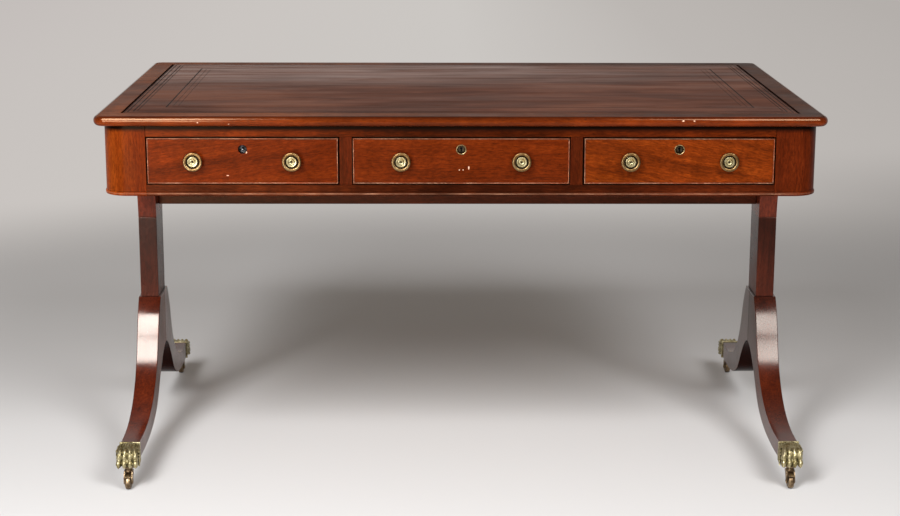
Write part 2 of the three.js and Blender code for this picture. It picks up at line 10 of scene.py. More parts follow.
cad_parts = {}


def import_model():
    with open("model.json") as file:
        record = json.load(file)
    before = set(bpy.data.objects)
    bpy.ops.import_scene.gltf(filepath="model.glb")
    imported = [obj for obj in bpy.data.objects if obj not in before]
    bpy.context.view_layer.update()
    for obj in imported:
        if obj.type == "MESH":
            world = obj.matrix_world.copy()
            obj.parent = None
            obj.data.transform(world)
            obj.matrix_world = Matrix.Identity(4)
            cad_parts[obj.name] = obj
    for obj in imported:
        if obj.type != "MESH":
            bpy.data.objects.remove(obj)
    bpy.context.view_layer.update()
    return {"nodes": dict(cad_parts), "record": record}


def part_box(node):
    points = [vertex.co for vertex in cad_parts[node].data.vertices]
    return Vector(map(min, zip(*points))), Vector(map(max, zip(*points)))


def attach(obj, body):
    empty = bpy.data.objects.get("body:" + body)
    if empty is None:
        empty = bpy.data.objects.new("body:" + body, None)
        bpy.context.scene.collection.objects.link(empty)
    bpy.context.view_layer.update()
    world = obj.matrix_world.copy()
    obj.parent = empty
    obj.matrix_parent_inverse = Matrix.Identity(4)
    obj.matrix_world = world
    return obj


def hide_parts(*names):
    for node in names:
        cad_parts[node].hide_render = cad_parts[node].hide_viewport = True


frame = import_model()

scene = bpy.context.scene
record = frame["record"]
MM = 0.001

BODY_OF = {
    node: body
    for body, nodes in record["behaviour"]["bodies"].items()
    for node in nodes
}
SLOT_OF = {row["node"]: row["material_slot"] for row in record["subparts"]}

# Corners of one node of each kind
top_low, top_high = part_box("top_board")
leather_low, leather_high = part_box("leather_inset")
post_low, post_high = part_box("corner_post_front_right")
panel_low, panel_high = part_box("side_panel_right")
_, rail_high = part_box("front_frame")
standard_low, standard_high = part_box("standard_right")
leg_low, leg_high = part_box("leg_rear_right")
paw_low, paw_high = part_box("paw_rear_right")
_, fork_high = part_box("caster_fork_rear_right")
wheel_low, wheel_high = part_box("caster_wheel_rear_right")

# Top
EDGE_DEPTH = 9 * MM
TOP_CORNER_RADIUS = 22 * MM
BED_DEPTH = 1.6 * MM
BED_CORNER_RADIUS = 0.4 * MM
BED_CLEARANCE = 0.2 * MM
BED_ARRIS = 0.3 * MM

# Leather: how far it lies below the top, and the gap beside its ends, where it has shrunk
LEATHER_SINK = 0.1 * MM
END_GAP = 6.0 * MM
END_GAP_DEPTH = 1.0 * MM

# Tooled lines in the leather: distance from its edge, width and depth
TOOLED_LINES = (
    (6.0 * MM, 1.2 * MM, 0.35 * MM),
    (11.5 * MM, 1.4 * MM, 0.45 * MM),
    (21.5 * MM, 1.4 * MM, 0.45 * MM),
    (28.5 * MM, 1.2 * MM, 0.35 * MM),
    (77.5 * MM, 1.6 * MM, 0.45 * MM),
    (89.0 * MM, 1.0 * MM, 0.25 * MM),
    (99.0 * MM, 1.0 * MM, 0.25 * MM),
)

# Frieze
BEAD_PROUD = 1.8 * MM
BEAD_HEIGHT = 8 * MM
BEAD_QUIRK = 0.5 * MM
POST_RADIUS = 46 * MM
POST_ARRIS = 0.4 * MM
RAIL_THICKNESS = 22 * MM
TOP_RAIL_HEIGHT = 21 * MM
BOTTOM_RAIL_HEIGHT = 22 * MM
DIVIDER_WIDTH = 24 * MM
DIVIDER_GAP = 1 * MM
SEAM = 0.25 * MM

# Drawers
COCK_BEAD_WIDTH = 3 * MM
COCK_BEAD_PROUD = 2 * MM
FIELD_GAP = 0.08 * MM
LINING = 10 * MM
BOTTOM_THICKNESS = 4.5 * MM
BOTTOM_RAISE = 1.5 * MM
BACK_DROP = 4 * MM
STEM_BORE = 3.3 * MM

# Locks
KEYHOLE_RISE = 22 * MM
KEYHOLE_BORE = 8.7 * MM
LOCK_DEPTH = 9 * MM
LOCK_CLEARANCE = 0.3 * MM
FLANGE_RADIUS = 10 * MM
FLANGE_EDGE = 0.8 * MM
CUP_DEPTH = 3 * MM

# Legs
ARRIS = 1.6 * MM
ARCH_RISE = 140 * MM
ANKLE_HEIGHT = 35 * MM
ANKLE_WIDTH = 36 * MM
ANKLE_REACH = 330 * MM
FOOT_RISE = 4.2 * MM
CAP_DEPTH = 13 * MM
CAP_WALL = 10 * MM
NEAR_MIDDLE = 0.02 * MM

# Standards
STANDARD_WIDTH = 94 * MM
STANDARD_ARRIS = 1 * MM
HEAD_HEIGHT = 117 * MM
HEAD_LIP = 14 * MM
HEAD_NOTCH = 1.1 * MM
HEAD_PROUD = 0.6 * MM

# Paws and casters
COLLAR_WIDTH = 41.6 * MM
COLLAR_LENGTH = 5 * MM
PAW_GRID = 0.75 * MM
SWIVEL_Y = 404 * MM
CROWN_GAP = 1.8 * MM
CHEEK_GAP = 0.7 * MM
CHEEK_THICKNESS = 2.6 * MM
CHEEK_FOOT = 4 * MM
AXLE_RADIUS = 2 * MM
EYE_RADIUS = 5.5 * MM
HOOD_INNER = 16.2 * MM
HOOD_OUTER = 18.6 * MM
HOOD_ANGLES = (42, 150)

# Gaps between pieces
GLUE_LINE = 0.1 * MM
CLEARANCE = 0.2 * MM

# Faces of the frieze, and the middle of the right trestle
frieze_half_x = post_high.x - BEAD_PROUD
frieze_half_y = -post_low.y - BEAD_PROUD
frieze_bottom = post_low.z
frieze_top = post_high.z
trestle_x = (standard_low.x + standard_high.x) / 2


# Mesh code

def tidy(mesh):
    """Welds doubled points and turns every face outwards."""
    work = bmesh.new()
    work.from_mesh(mesh)
    bmesh.ops.remove_doubles(work, verts=work.verts, dist=1e-6)
    bmesh.ops.dissolve_degenerate(work, edges=work.edges, dist=1e-7)
    bmesh.ops.recalc_face_normals(work, faces=work.faces)
    work.to_mesh(mesh)
    work.free()
    return mesh


def loft(name, rings, loop=False):
    """A closed mesh through rings of equally many points. A loop joins its last ring to its first."""
    count = len(rings[0])
    points = [point for ring in rings for point in ring]
    pairs = [(low, low + 1) for low in range(len(rings) - 1)]
    if loop:
        pairs.append((len(rings) - 1, 0))
    faces = []
    for low, high in pairs:
        for i in range(count):
            j = (i + 1) % count
            faces.append((low * count + i, low * count + j, high * count + j, high * count + i))
    if not loop:
        faces.append(tuple(range(count)))
        faces.append(tuple((len(rings) - 1) * count + i for i in range(count)))
    mesh = bpy.data.meshes.new(name)
    mesh.from_pydata(points, [], faces)
    return tidy(mesh)


def box_mesh(name, low, high):
    """A plain block between two corners."""
    corners = [
        [(low[0], low[1], z), (high[0], low[1], z), (high[0], high[1], z), (low[0], high[1], z)]
        for z in (low[2], high[2])
    ]
    return loft(name, corners)


def prism(name, outline, ends):
    """One outline in Y and Z, drawn out between two places on the X axis."""
    return loft(name, [[(x, y, z) for y, z in outline] for x in ends])


def lathe(name, profile, segments, loop=False):
    """A turned mesh round +Y from a profile of (radius, height along +Y)."""
    rings = []
    for radius, height in profile:
        rings.append([
            (radius * math.cos(turn), height, radius * math.sin(turn))
            for turn in (2 * math.pi * step / segments for step in range(segments))
        ])
    return loft(name, rings, loop)


def merged(name, meshes):
    """Several meshes as one."""
    work = bmesh.new()
    for mesh in meshes:
        work.from_mesh(mesh)
        bpy.data.meshes.remove(mesh)
    whole = bpy.data.meshes.new(name)
    work.to_mesh(whole)
    work.free()
    return whole


def moved(mesh, place=(0, 0, 0), turn=0, axis="Z"):
    """The mesh after a turn in degrees and a move."""
    mesh.transform(Matrix.Rotation(math.radians(turn), 4, axis))
    mesh.transform(Matrix.Translation(place))
    return mesh


def in_mm(points, level=0.0):
    """Pairs in millimetres as pairs in metres, the second number counted from a level."""
    return [(first * MM, level + second * MM) for first, second in points]


def arc(centre, radii, start, end, steps):
    """Points of an elliptic arc, its angles in degrees."""
    angles = [math.radians(start + (end - start) * step / steps) for step in range(steps + 1)]
    return [(centre[0] + radii[0] * math.cos(a), centre[1] + radii[1] * math.sin(a)) for a in angles]


def bend(start, middle, end, steps):
    """Points of a quadratic curve after its start, up to its end."""
    points = []
    for step in range(1, steps + 1):
        t = step / steps
        points.append(tuple(
            a * (1 - t) ** 2 + b * 2 * t * (1 - t) + c * t * t
            for a, b, c in zip(start, middle, end)
        ))
    return points


def rounded_ring(corner, inset, radius, z, steps=14):
    """A rectangle with round corners at one height, anticlockwise, set in from its far corner."""
    points = []
    for index, (sign_x, sign_y) in enumerate(((1, 1), (-1, 1), (-1, -1), (1, -1))):
        centre = (sign_x * (corner.x - inset - radius), sign_y * (corner.y - inset - radius))
        points += arc(centre, (radius, radius), index * 90, index * 90 + 90, steps)
    return [(x, y, z) for x, y in points]


def new_object(name, data):
    """An object round a mesh, a lamp or a camera."""
    item = bpy.data.objects.new(name, data)
    scene.collection.objects.link(item)
    return item


def applied(item):
    """The mesh that an object's modifiers make. The object goes."""
    bpy.context.view_layer.update()
    graph = bpy.context.evaluated_depsgraph_get()
    mesh = bpy.data.meshes.new_from_object(item.evaluated_get(graph))
    bpy.data.objects.remove(item)
    return mesh


def cut(mesh, cutters):
    """The mesh with holes where the cutter meshes lie."""
    item = new_object(mesh.name, mesh)
    tools = [new_object("cutter", cutter) for cutter in cutters]
    for tool in tools:
        hole = item.modifiers.new("hole", "BOOLEAN")
        hole.operation = "DIFFERENCE"
        hole.solver = "EXACT"
        hole.object = tool
    result = applied(item)
    for tool in tools:
        bpy.data.objects.remove(tool)
    return result


def piece(name, mesh, material, node, turn=0, ease=0.0, smooth=35, origin=None):
    """A named piece in place of a CAD node, on its body. The turn takes it to the far side, ease
    rounds its edges, and with an origin its mesh is drawn round that point."""
    moved(mesh, turn=turn)
    mesh.name = name
    mesh.materials.clear()
    mesh.materials.append(material)
    mesh.shade_smooth()
    mesh.set_sharp_from_angle(angle=math.radians(smooth))
    item = new_object(name, mesh)
    if origin:
        item.location = origin
        bpy.context.view_layer.update()
    if ease:
        edges = item.modifiers.new("eased edges", "BEVEL")
        edges.width = ease
        edges.segments = 3
        edges.limit_method = "ANGLE"
        edges.angle_limit = math.radians(smooth)
        edges.harden_normals = True
    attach(item, BODY_OF[node])
    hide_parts(node)


def board(name, low, high, material, node, turn=0, ease=0.5 * MM):
    """A planed board with eased edges."""
    piece(name, box_mesh(name, low, high), material, node, turn, ease)


# Materials

def srgb(red, green, blue):
    """A colour as seen on a screen, 0 to 255, in the linear numbers that shaders use."""
    def linear(level):
        share = level / 255
        return share / 12.92 if share <= 0.04045 else ((share + 0.055) / 1.055) ** 2.4
    return (linear(red), linear(green), linear(blue), 1.0)


def grey(level):
    return (level, level, level, 1.0)


GRAIN_ORDER = {"X": (0, 1, 2), "Y": (1, 0, 2), "Z": (2, 1, 0)}
WOOD_STOPS = (0.38, 0.5, 0.63)
SOFT_STOPS = (0.36, 0.5, 0.64)


class Shader:
    """The node tree of a new material or world, with a short call for each kind of node."""

    def __init__(self, owner):
        owner.use_nodes = True
        self.owner = owner
        self.tree = owner.node_tree
        self.tree.nodes.clear()

    def node(self, kind, inputs, **settings):
        made = self.tree.nodes.new("ShaderNode" + kind)
        for key, value in settings.items():
            setattr(made, key, value)
        for key, value in inputs.items():
            if isinstance(value, bpy.types.NodeSocket):
                self.tree.links.new(value, made.inputs[key])
            else:
                made.inputs[key].default_value = value
        return made

    def place(self):
        return self.node("TexCoord", {}).outputs["Object"]

    def mapped(self, vector, scale=(1, 1, 1), rotation=(0, 0, 0), location=(0, 0, 0)):
        inputs = {"Vector": vector, "Scale": scale, "Rotation": rotation, "Location": location}
        return self.node("Mapping", inputs).outputs[0]

    def split(self, vector):
        return tuple(self.node("SeparateXYZ", {0: vector}).outputs)

    def vector(self, x, y, z):
        return self.node("CombineXYZ", {0: x, 1: y, 2: z}).outputs[0]

    def along_grain(self, place, grain):
        """A place with the axis of the grain as its X."""
        parts = self.split(place)
        return self.vector(*(parts[i] for i in GRAIN_ORDER[grain]))

    def noise(self, vector, scale=1.0, detail=2, roughness=0.5, distortion=0.0):
        """The scale is a number, or three to stretch the noise along an axis."""
        if isinstance(scale, tuple):
            vector = self.mapped(vector, scale)
            scale = 1.0
        return self.node("TexNoise", {
            "Vector": vector, "Scale": scale, "Detail": detail,
            "Roughness": roughness, "Distortion": distortion,
        }).outputs[0]

    def calc(self, operation, first, second=0.0, third=0.0, clamp=False):
        inputs = {0: first, 1: second}
        if operation == "MULTIPLY_ADD":
            inputs[2] = third
        return self.node("Math", inputs, operation=operation, use_clamp=clamp).outputs[0]

    def times(self, first, second):
        return self.calc("MULTIPLY", first, second)

    def minus(self, first, second):
        return self.calc("SUBTRACT", first, second)

    def over(self, first, second):
        return self.calc("DIVIDE", first, second)

    def absolute(self, value):
        return self.calc("ABSOLUTE", value)

    def length(self, vector):
        return self.node("VectorMath", {0: vector}, operation="LENGTH").outputs["Value"]

    def weighted(self, *terms):
        """The sum of values, each times its weight."""
        total = 0.0
        for value, weight in terms:
            total = self.calc("MULTIPLY_ADD", value, weight, total)
        return total

    def span(self, value, start, end):
        """0 where a value is at the start, 1 where it is at the end, and in proportion elsewhere."""
        return self.over(self.minus(value, start), end - start)

    def between(self, share, first, second):
        """The first number at a share of 0, the second at 1."""
        return self.calc("MULTIPLY_ADD", share, second - first, first)

    def ramp(self, value, stops, kind="LINEAR"):
        """Stops are (place, colour) with a colour or a grey level."""
        made = self.node("ValToRGB", {0: value})
        band = made.color_ramp
        band.interpolation = kind
        while len(band.elements) < len(stops):
            band.elements.new(1.0)
        for element, (where, colour) in zip(band.elements, stops):
            element.position = where
            element.color = colour if isinstance(colour, tuple) else grey(colour)
        return made.outputs[0]

    def eased(self, value):
        """0 to 1 with a gentle start and end."""
        return self.ramp(value, ((0.0, 0.0), (1.0, 1.0)), "EASE")

    def near(self, value, middle, reach, soft):
        """1 where a value lies within reach of a middle one, 0 outside, with a soft rim."""
        gap = self.absolute(self.minus(value, middle))
        return self.ramp(self.span(gap, reach - soft, reach), ((0.0, 1.0), (1.0, 0.0)))

    def mix(self, share, first, second, blend="MIX"):
        made = self.node("Mix", {0: share, 6: first, 7: second}, data_type="RGBA", blend_type=blend)
        return made.outputs[2]

    def toned(self, value, tones, stops=WOOD_STOPS):
        """A dark, a middle and a light colour along a value."""
        return self.ramp(value, tuple(zip(stops, (srgb(*tone) for tone in tones))))

    def tinted(self, colour, value, stops, share=1.0):
        """A colour times a ramp of a value."""
        return self.mix(share, colour, self.ramp(value, stops), "MULTIPLY")

    def bump(self, height, strength, distance, normal=None):
        inputs = {"Height": height, "Strength": strength, "Distance": distance}
        if normal is not None:
            inputs["Normal"] = normal
        return self.node("Bump", inputs).outputs[0]

    def hollows(self, distance):
        """1 in the open, towards 0 in corners and cracks."""
        return self.node("AmbientOcclusion", {"Distance": distance}, samples=6).outputs["AO"]

    def from_edge(self, place, corner):
        """Distance in plan from the edge of a rectangle centred on the desk, given its far corner."""
        x, y, _ = self.split(place)
        from_end = self.minus(corner.x, self.absolute(x))
        from_side = self.minus(corner.y, self.absolute(y))
        return self.calc("MINIMUM", from_end, from_side)

    def spot(self, place, centre, radii):
        """1 inside a soft ellipsoid at a place, 0 outside. Radii in millimetres."""
        offset = self.node("VectorMath", {0: place, 1: centre}, operation="SUBTRACT").outputs[0]
        shares = tuple(1 / (radius * MM) for radius in radii)
        scaled = self.node("VectorMath", {0: offset, 1: shares}, operation="MULTIPLY").outputs[0]
        return self.ramp(self.length(scaled), ((0.75, 1.0), (1.0, 0.0)))

    def output(self, kind, shader):
        """Ends the tree in a shader, and gives the material or world."""
        self.node("Output" + kind, {"Surface": shader.outputs[0]})
        return self.owner

    def finish(self, **sockets):
        """Ends in a principled shader. Socket names are given with _ for a blank."""
        inputs = {key.replace("_", " "): value for key, value in sockets.items()}
        return self.output("Material", self.node("BsdfPrincipled", inputs))


# Black of dirt and painted shadow, pale of rubbed polish and painted highlights, chipped polish, tints of the
# polish's shine, and its refraction indices
SOOT_AND_SHADOW = srgb(16, 6, 4)
RUBBED_AND_HIGHLIGHT = srgb(196, 146, 116)
CHIPPED = srgb(214, 168, 140)
SHELLAC = (1.0, 0.62, 0.36, 1.0)
AMBER = (1.0, 0.8, 0.66, 1.0)
ROSY = (1.0, 0.9, 0.82, 1.0)
LACQUER_INDEX = 1.5
BORDER_INDEX = 1.25
HIDE_INDEX = 1.36
DULL_INDEX = 1.1

# The top's rounded edge and the leather
NOSE_GLOSS = 0.44
NOSE_ROUGHNESS = 0.32
NOSE_SHADE = ((0.5, 1.0), (0.74, 0.62), (0.92, 0.36))
# NOSE_RUN: painted highlight, the rounded edge lighter towards both ends and most at the right, where the
# lamps shine on it
NOSE_RUN = ((0.1, 1.1), (0.4, 0.95), (0.6, 0.86), (0.76, 1.25), (0.95, 1.5))
HIDE_GLOSS = 0.07

# Sway of the grain, painted shadow and dirt under the top, a painted highlight on the top's far rim, and the
# crest of the frieze's bead, rubbed pale and painted as a highlight
GRAIN_SWAY = 0.045
EAVES_DEPTH = 13 * MM
EAVES_SOFT = 8 * MM
BACK_RIM = 6 * MM
BEAD_CREST = frieze_bottom + 4.4 * MM
CREST_REACH = 1.4 * MM
CREST_SOFT = 1.1 * MM
BEAD_LIGHT = grey(1.2)


def mahogany(
    name, grain, tones, figure=0.0, slant=0.0, shift=0.0, chips=(), polish=0.3, gloss=0.07,
    index=LACQUER_INDEX, tint=SHELLAC, shade=None, nose=None, worn_and_highlit_crest=False, painted_eaves_shadow=False, under=False,
):
    """French-polished mahogany. Tones are its dark, middle and light colours. Figure is the strength
    of the bands across the grain, slant the angle that the grain runs off its axis, and shift moves
    the pattern. Shade gives an axis and how light the wood is along it, which on some pieces paints
    light and shade. Nose gives the tones of the top's rounded edge, and paints a highlight along its far
    rim. On the frieze's bead the crest is painted pale, partly as polish rubbed off and partly as a
    painted highlight. A black band of painted shadow and dirt can go under the top, and under paints
    shade on the faces that look down and dulls their polish. Corners and cracks get painted shade and dirt."""
    s = Shader(bpy.data.materials.new(name))
    place = s.place()
    x, y, z = s.split(place)
    turned = s.mapped(s.along_grain(place, grain), rotation=(0, slant, 0), location=(shift, shift, shift))
    sway = s.times(s.noise(turned, (2.2, 7, 7)), GRAIN_SWAY)
    along, across, up = s.split(turned)
    wood = s.vector(along, s.calc("ADD", across, sway), s.calc("ADD", up, sway))

    broad = s.noise(wood, (1.3, 11, 11), 3, 0.55)
    streak = s.noise(wood, (2.6, 75, 75), 6, 0.7, 0.3)
    fibre = s.noise(wood, (17, 520, 520), 3, 0.65)
    mottle = s.noise(wood, (80, 340, 340), 3, 0.7)
    pores = s.noise(wood, (120, 850, 850))
    bands = s.noise(s.mapped(turned, (17, 4.5, 4.5), rotation=(0, 0.5, 0)), distortion=0.6)
    smudge = s.noise(s.mapped(place, (7, 7, 7), location=(shift, 0, 0)), 1.0, 4, 0.6)
    rough = s.ramp(smudge, ((0.3, polish - 0.05), (0.7, polish + 0.1)))

    value = s.weighted((broad, 0.38), (streak, 0.28), (fibre, 0.2), (mottle, 0.14))
    colour = s.toned(value, tones)
    colour = s.tinted(colour, mottle, ((0.38, 0.68), (0.62, 1.26)), 0.55)
    # On some pieces this paints light and shade along an axis
    if shade:
        axis, stops = shade
        level = s.span(x, -top_high.x, top_high.x) if axis == "X" else s.over(z, top_high.z)
        colour = s.tinted(colour, level, stops)
    if nose:
        edge = s.ramp(s.over(s.from_edge(place, top_high), EDGE_DEPTH), ((0.85, 1.0), (1.0, 0.0)))
        rise = s.span(z, top_low.z, top_high.z)
        rounded = s.tinted(s.toned(value, nose), rise, NOSE_SHADE)
        rounded = s.tinted(rounded, s.span(x, -top_high.x, top_high.x), NOSE_RUN)
        colour = s.mix(edge, colour, rounded)
        # Painted highlight along the top's far rim
        back = s.span(y, top_high.y - BACK_RIM, top_high.y)
        colour = s.mix(s.ramp(back, ((0.0, 0.0), (0.6, 0.8))), colour, RUBBED_AND_HIGHLIGHT)
        rough = s.times(rough, s.between(edge, 1.0, NOSE_ROUGHNESS))
        gloss = s.between(edge, gloss, NOSE_GLOSS)
        glossy = s.times(edge, s.ramp(rise, ((0.3, 0.25), (0.6, 1.0))))
        index = s.between(glossy, BORDER_INDEX, LACQUER_INDEX)
    colour = s.tinted(colour, bands, ((0.4, 0.72), (0.6, 1.35)), figure)
    pore_share = s.ramp(pores, ((0.58, 0.0), (0.7, 0.5)))
    pore_tone = tuple(part * 0.3 for part in srgb(*tones[0])[:3])
    colour = s.mix(pore_share, colour, (*pore_tone, 1.0))
    colour = s.tinted(colour, smudge, ((0.35, 0.75), (0.65, 1.2)), 0.7)
    # Painted shade and dirt in corners and cracks
    colour = s.mix(s.ramp(s.hollows(12 * MM), ((0.3, 0.95), (0.68, 0.0))), colour, SOOT_AND_SHADOW)
    # Painted shadow and dirt: a black band under the top
    if painted_eaves_shadow:
        colour = s.mix(s.near(z, frieze_top, EAVES_DEPTH, EAVES_SOFT), colour, SOOT_AND_SHADOW)
    # The bead made lighter, and its crest painted pale: partly polish rubbed off, partly a painted highlight
    if worn_and_highlit_crest:
        colour = s.mix(s.near(z, frieze_bottom, BEAD_HEIGHT, BEAD_QUIRK), colour, BEAD_LIGHT, "MULTIPLY")
        rubbed = s.noise(place, (14, 14, 40), 7, 0.74)
        wear_and_highlight = s.ramp(rubbed, ((0.36, 0.08), (0.5, 0.25), (0.62, 0.5), (0.7, 0.8)))
        wear_and_highlight = s.times(wear_and_highlight, s.near(z, BEAD_CREST, CREST_REACH, CREST_SOFT))
        from_end = s.over(s.minus(frieze_half_x, s.absolute(x)), POST_RADIUS)
        wear_and_highlight = s.times(wear_and_highlight, s.ramp(from_end, ((0.0, 0.2), (1.0, 1.0))))
        colour = s.mix(wear_and_highlight, colour, RUBBED_AND_HIGHLIGHT)
    for centre, radii in chips:
        colour = s.mix(s.spot(place, centre, radii), colour, CHIPPED)
    # Painted shade on faces that look down, whose polish is also dulled
    if under:
        facing = s.split(s.node("NewGeometry", {}).outputs["Normal"])[2]
        painted_underside_shade = s.ramp(s.times(facing, -1.0), ((0.04, 0.0), (0.25, 0.8)))
        colour = s.mix(painted_underside_shade, colour, SOOT_AND_SHADOW)
        lively = s.ramp(s.over(z, leg_high.z), ((0.45, gloss * 0.5), (0.62, gloss)))
        gloss = s.times(lively, s.minus(1.0, painted_underside_shade))
        index = s.between(painted_underside_shade, LACQUER_INDEX, DULL_INDEX)

    relief = s.times(s.minus(fibre, pore_share), 0.6)
    normal = s.bump(relief, 0.3, 0.1 * MM, s.bump(smudge, 0.2, 0.5 * MM))
    return s.finish(
        Base_Color=colour, Roughness=rough, Normal=normal,
        Specular_IOR_Level=gloss, Specular_Tint=tint, IOR=index,
    )


def bead_with_painted_light(name):
    """Cock bead: a painted black shadow of the gap on its outer side, and a pale crest, partly polish rubbed
    to pale wood and partly a painted highlight.
    """
    s = Shader(bpy.data.materials.new(name))
    place = s.place()
    across = s.node("Attribute", {}, attribute_name="across_bead").outputs["Fac"]
    grain = s.noise(place, (12, 300, 300), 3)
    long_wear = s.noise(place, 24, 5, 0.7)
    fine_wear = s.noise(place, 190, 3)
    colour = s.ramp(grain, ((0.35, srgb(64, 22, 8)), (0.65, srgb(122, 48, 20))))
    wear_and_highlight = s.weighted((long_wear, 0.75), (fine_wear, 0.4))
    wear_and_highlight = s.ramp(wear_and_highlight, ((0.48, 0.04), (0.58, 0.22), (0.68, 0.66)))
    # Pale crest: partly rubbed polish, partly a painted highlight
    colour = s.mix(s.times(wear_and_highlight, s.near(across, 0.65, 0.25, 0.22)), colour, srgb(206, 160, 130))
    # Painted shadow of the gap along the bead's outer side
    colour = s.mix(s.ramp(across, ((0.28, 1.0), (0.46, 0.0))), colour, SOOT_AND_SHADOW)
    return s.finish(
        Base_Color=colour, Roughness=0.34, Normal=s.bump(fine_wear, 0.3, 0.2 * MM),
        Specular_IOR_Level=0.3, Specular_Tint=SHELLAC,
    )


def plain_wood(name, grain, tones):
    """Unpolished softwood of the drawer linings and the inner frame, darkened by age, with painted shade in
    its hollows.
    """
    s = Shader(bpy.data.materials.new(name))
    place = s.place()
    wood = s.along_grain(place, grain)
    rings = s.noise(wood, (1.6, 60, 60), 4, 0.6, 0.5)
    fibre = s.noise(wood, (14, 600, 600))
    stain = s.noise(place, 5, 5, 0.65)
    value = s.weighted((rings, 0.7), (fibre, 0.3))
    colour = s.toned(value, tones, SOFT_STOPS)
    colour = s.tinted(colour, stain, ((0.3, 0.55), (0.65, 1.15)), 0.6)
    # Painted shade in hollows and corners
    colour = s.tinted(colour, s.hollows(14 * MM), ((0.3, 0.35), (0.85, 1.0)))
    return s.finish(Base_Color=colour, Roughness=0.72, Normal=s.bump(value, 0.3, 0.3 * MM))


def tooled_leather(name):
    """Old hide: red-brown and scuffed, with a painted grey sheen in streaks towards the back, a painted
    shadow in the gap round its edge, and tooled lines round it.
    """
    s = Shader(bpy.data.materials.new(name))
    place = s.place()
    x, y, _ = s.split(place)
    inset = s.from_edge(place, leather_high)
    blotch = s.noise(s.mapped(place, (1, 2.2, 1)), 3.4, 5, 0.6, 0.4)
    streak = s.noise(s.mapped(place, (0.7, 5.5, 1)), 3.6, 8, 0.66, 0.6)
    scuff = s.noise(s.mapped(place, (0.6, 1.8, 1)), 16, 6, 0.7)
    hide = s.node("TexVoronoi", {"Vector": place, "Scale": 620.0, "Randomness": 1.0}).outputs[0]

    colour = s.toned(blotch, HIDE_BROWN, SOFT_STOPS)
    colour = s.tinted(colour, scuff, ((0.35, 0.8), (0.65, 1.18)), 0.5)
    away = s.span(y, -leather_high.y, leather_high.y)
    along = s.span(x, -leather_high.x, leather_high.x)
    # Painted sheen: grey in streaks towards the back, strongest at the left
    painted_sheen = s.ramp(away, ((0.45, 0.06), (0.72, 0.75), (0.92, 1.0)))
    painted_sheen = s.times(painted_sheen, s.ramp(streak, ((0.38, 0.2), (0.64, 0.8))))
    painted_sheen = s.times(painted_sheen, s.ramp(along, ((0.3, 1.0), (0.6, 0.8), (0.85, 0.35))))
    colour = s.mix(painted_sheen, colour, srgb(160, 140, 133))
    colour = s.mix(s.ramp(scuff, ((0.6, 0.0), (0.74, 0.35))), colour, srgb(136, 96, 78))

    # Painted shadow in the gap at the leather's ends and sides, where it also loses its shine
    from_end = s.minus(leather_high.x, s.absolute(x))
    end_gap = s.ramp(s.over(from_end, END_GAP), ((0.7, 1.0), (1.0, 0.0)))
    side_gap = s.ramp(s.over(inset, 2 * MM), ((0.5, 0.9), (1.0, 0.0)))
    painted_gap_shadow = s.calc("MAXIMUM", end_gap, side_gap)
    colour = s.mix(painted_gap_shadow, colour, SOOT_AND_SHADOW)
    for middle, breadth, depth in TOOLED_LINES:
        off = s.absolute(s.minus(inset, middle))
        line = s.ramp(s.over(off, breadth * 1.5), ((0.4, depth / MM * 2), (0.95, 0.0)))
        colour = s.mix(line, colour, SOOT_AND_SHADOW)
    normal = s.bump(scuff, 0.2, 0.5 * MM, s.bump(blotch, 0.35, 1.6 * MM))
    return s.finish(
        Base_Color=colour, Roughness=s.ramp(streak, ((0.3, 0.6), (0.7, 0.42))),
        Normal=s.bump(hide, 0.22, 0.16 * MM, normal),
        Specular_IOR_Level=s.between(painted_gap_shadow, HIDE_GLOSS, 0.0), Specular_Tint=SHELLAC, IOR=HIDE_INDEX,
    )


def old_metal(name, clean, dull, grime, reach=5.0, roughness=0.3, rings=()):
    """Cast metal with a brown skin that gathers in hollows of a reach in millimetres and is rubbed off
    its high places. Rings are (radius in millimetres, colour) steps round its own Y axis, from the
    middle outwards."""
    s = Shader(bpy.data.materials.new(name))
    place = s.place()
    cloud = s.noise(place, 91, 4, 0.6)
    speck = s.noise(place, 780, 3, 0.7)
    in_open = s.hollows(reach * MM)
    colour = s.mix(s.ramp(cloud, ((0.4, 0.0), (0.62, 1.0))), srgb(*clean), srgb(*dull))
    if rings:
        x, _, z = s.split(place)
        full = rings[-1][0]
        share = s.over(s.length(s.vector(x, 0.0, z)), full * MM)
        colour = s.tinted(colour, share, [(radius / full, tone) for radius, tone in rings])
    colour = s.mix(s.ramp(speck, ((0.6, 0.0), (0.72, 0.5))), colour, srgb(*grime))
    colour = s.mix(s.ramp(in_open, ((0.35, 0.95), (0.78, 0.0))), colour, srgb(*grime))
    skin = s.ramp(cloud, ((0.3, roughness - 0.08), (0.7, roughness + 0.15)))
    rough = s.mix(0.5, skin, s.ramp(in_open, ((0.4, 0.7), (0.9, roughness))))
    normal = s.bump(cloud, 0.25, 0.25 * MM, s.bump(speck, 0.22, 0.1 * MM))
    return s.finish(Base_Color=colour, Metallic=1.0, Roughness=rough, Normal=normal)


# Dark, middle and light tones as seen on a screen
RED_BROWN = ((62, 18, 4), (90, 29, 5), (113, 43, 9))
RAIL_BROWN = ((54, 18, 5), (88, 30, 6), (114, 46, 11))
LOWER_RAIL_BROWN = ((38, 12, 4), (60, 19, 5), (82, 31, 8))
DIVIDER_BROWN = ((40, 12, 3), (58, 17, 4), (74, 26, 7))
POST_BROWN = ((75, 25, 4), (102, 38, 6), (127, 57, 13))
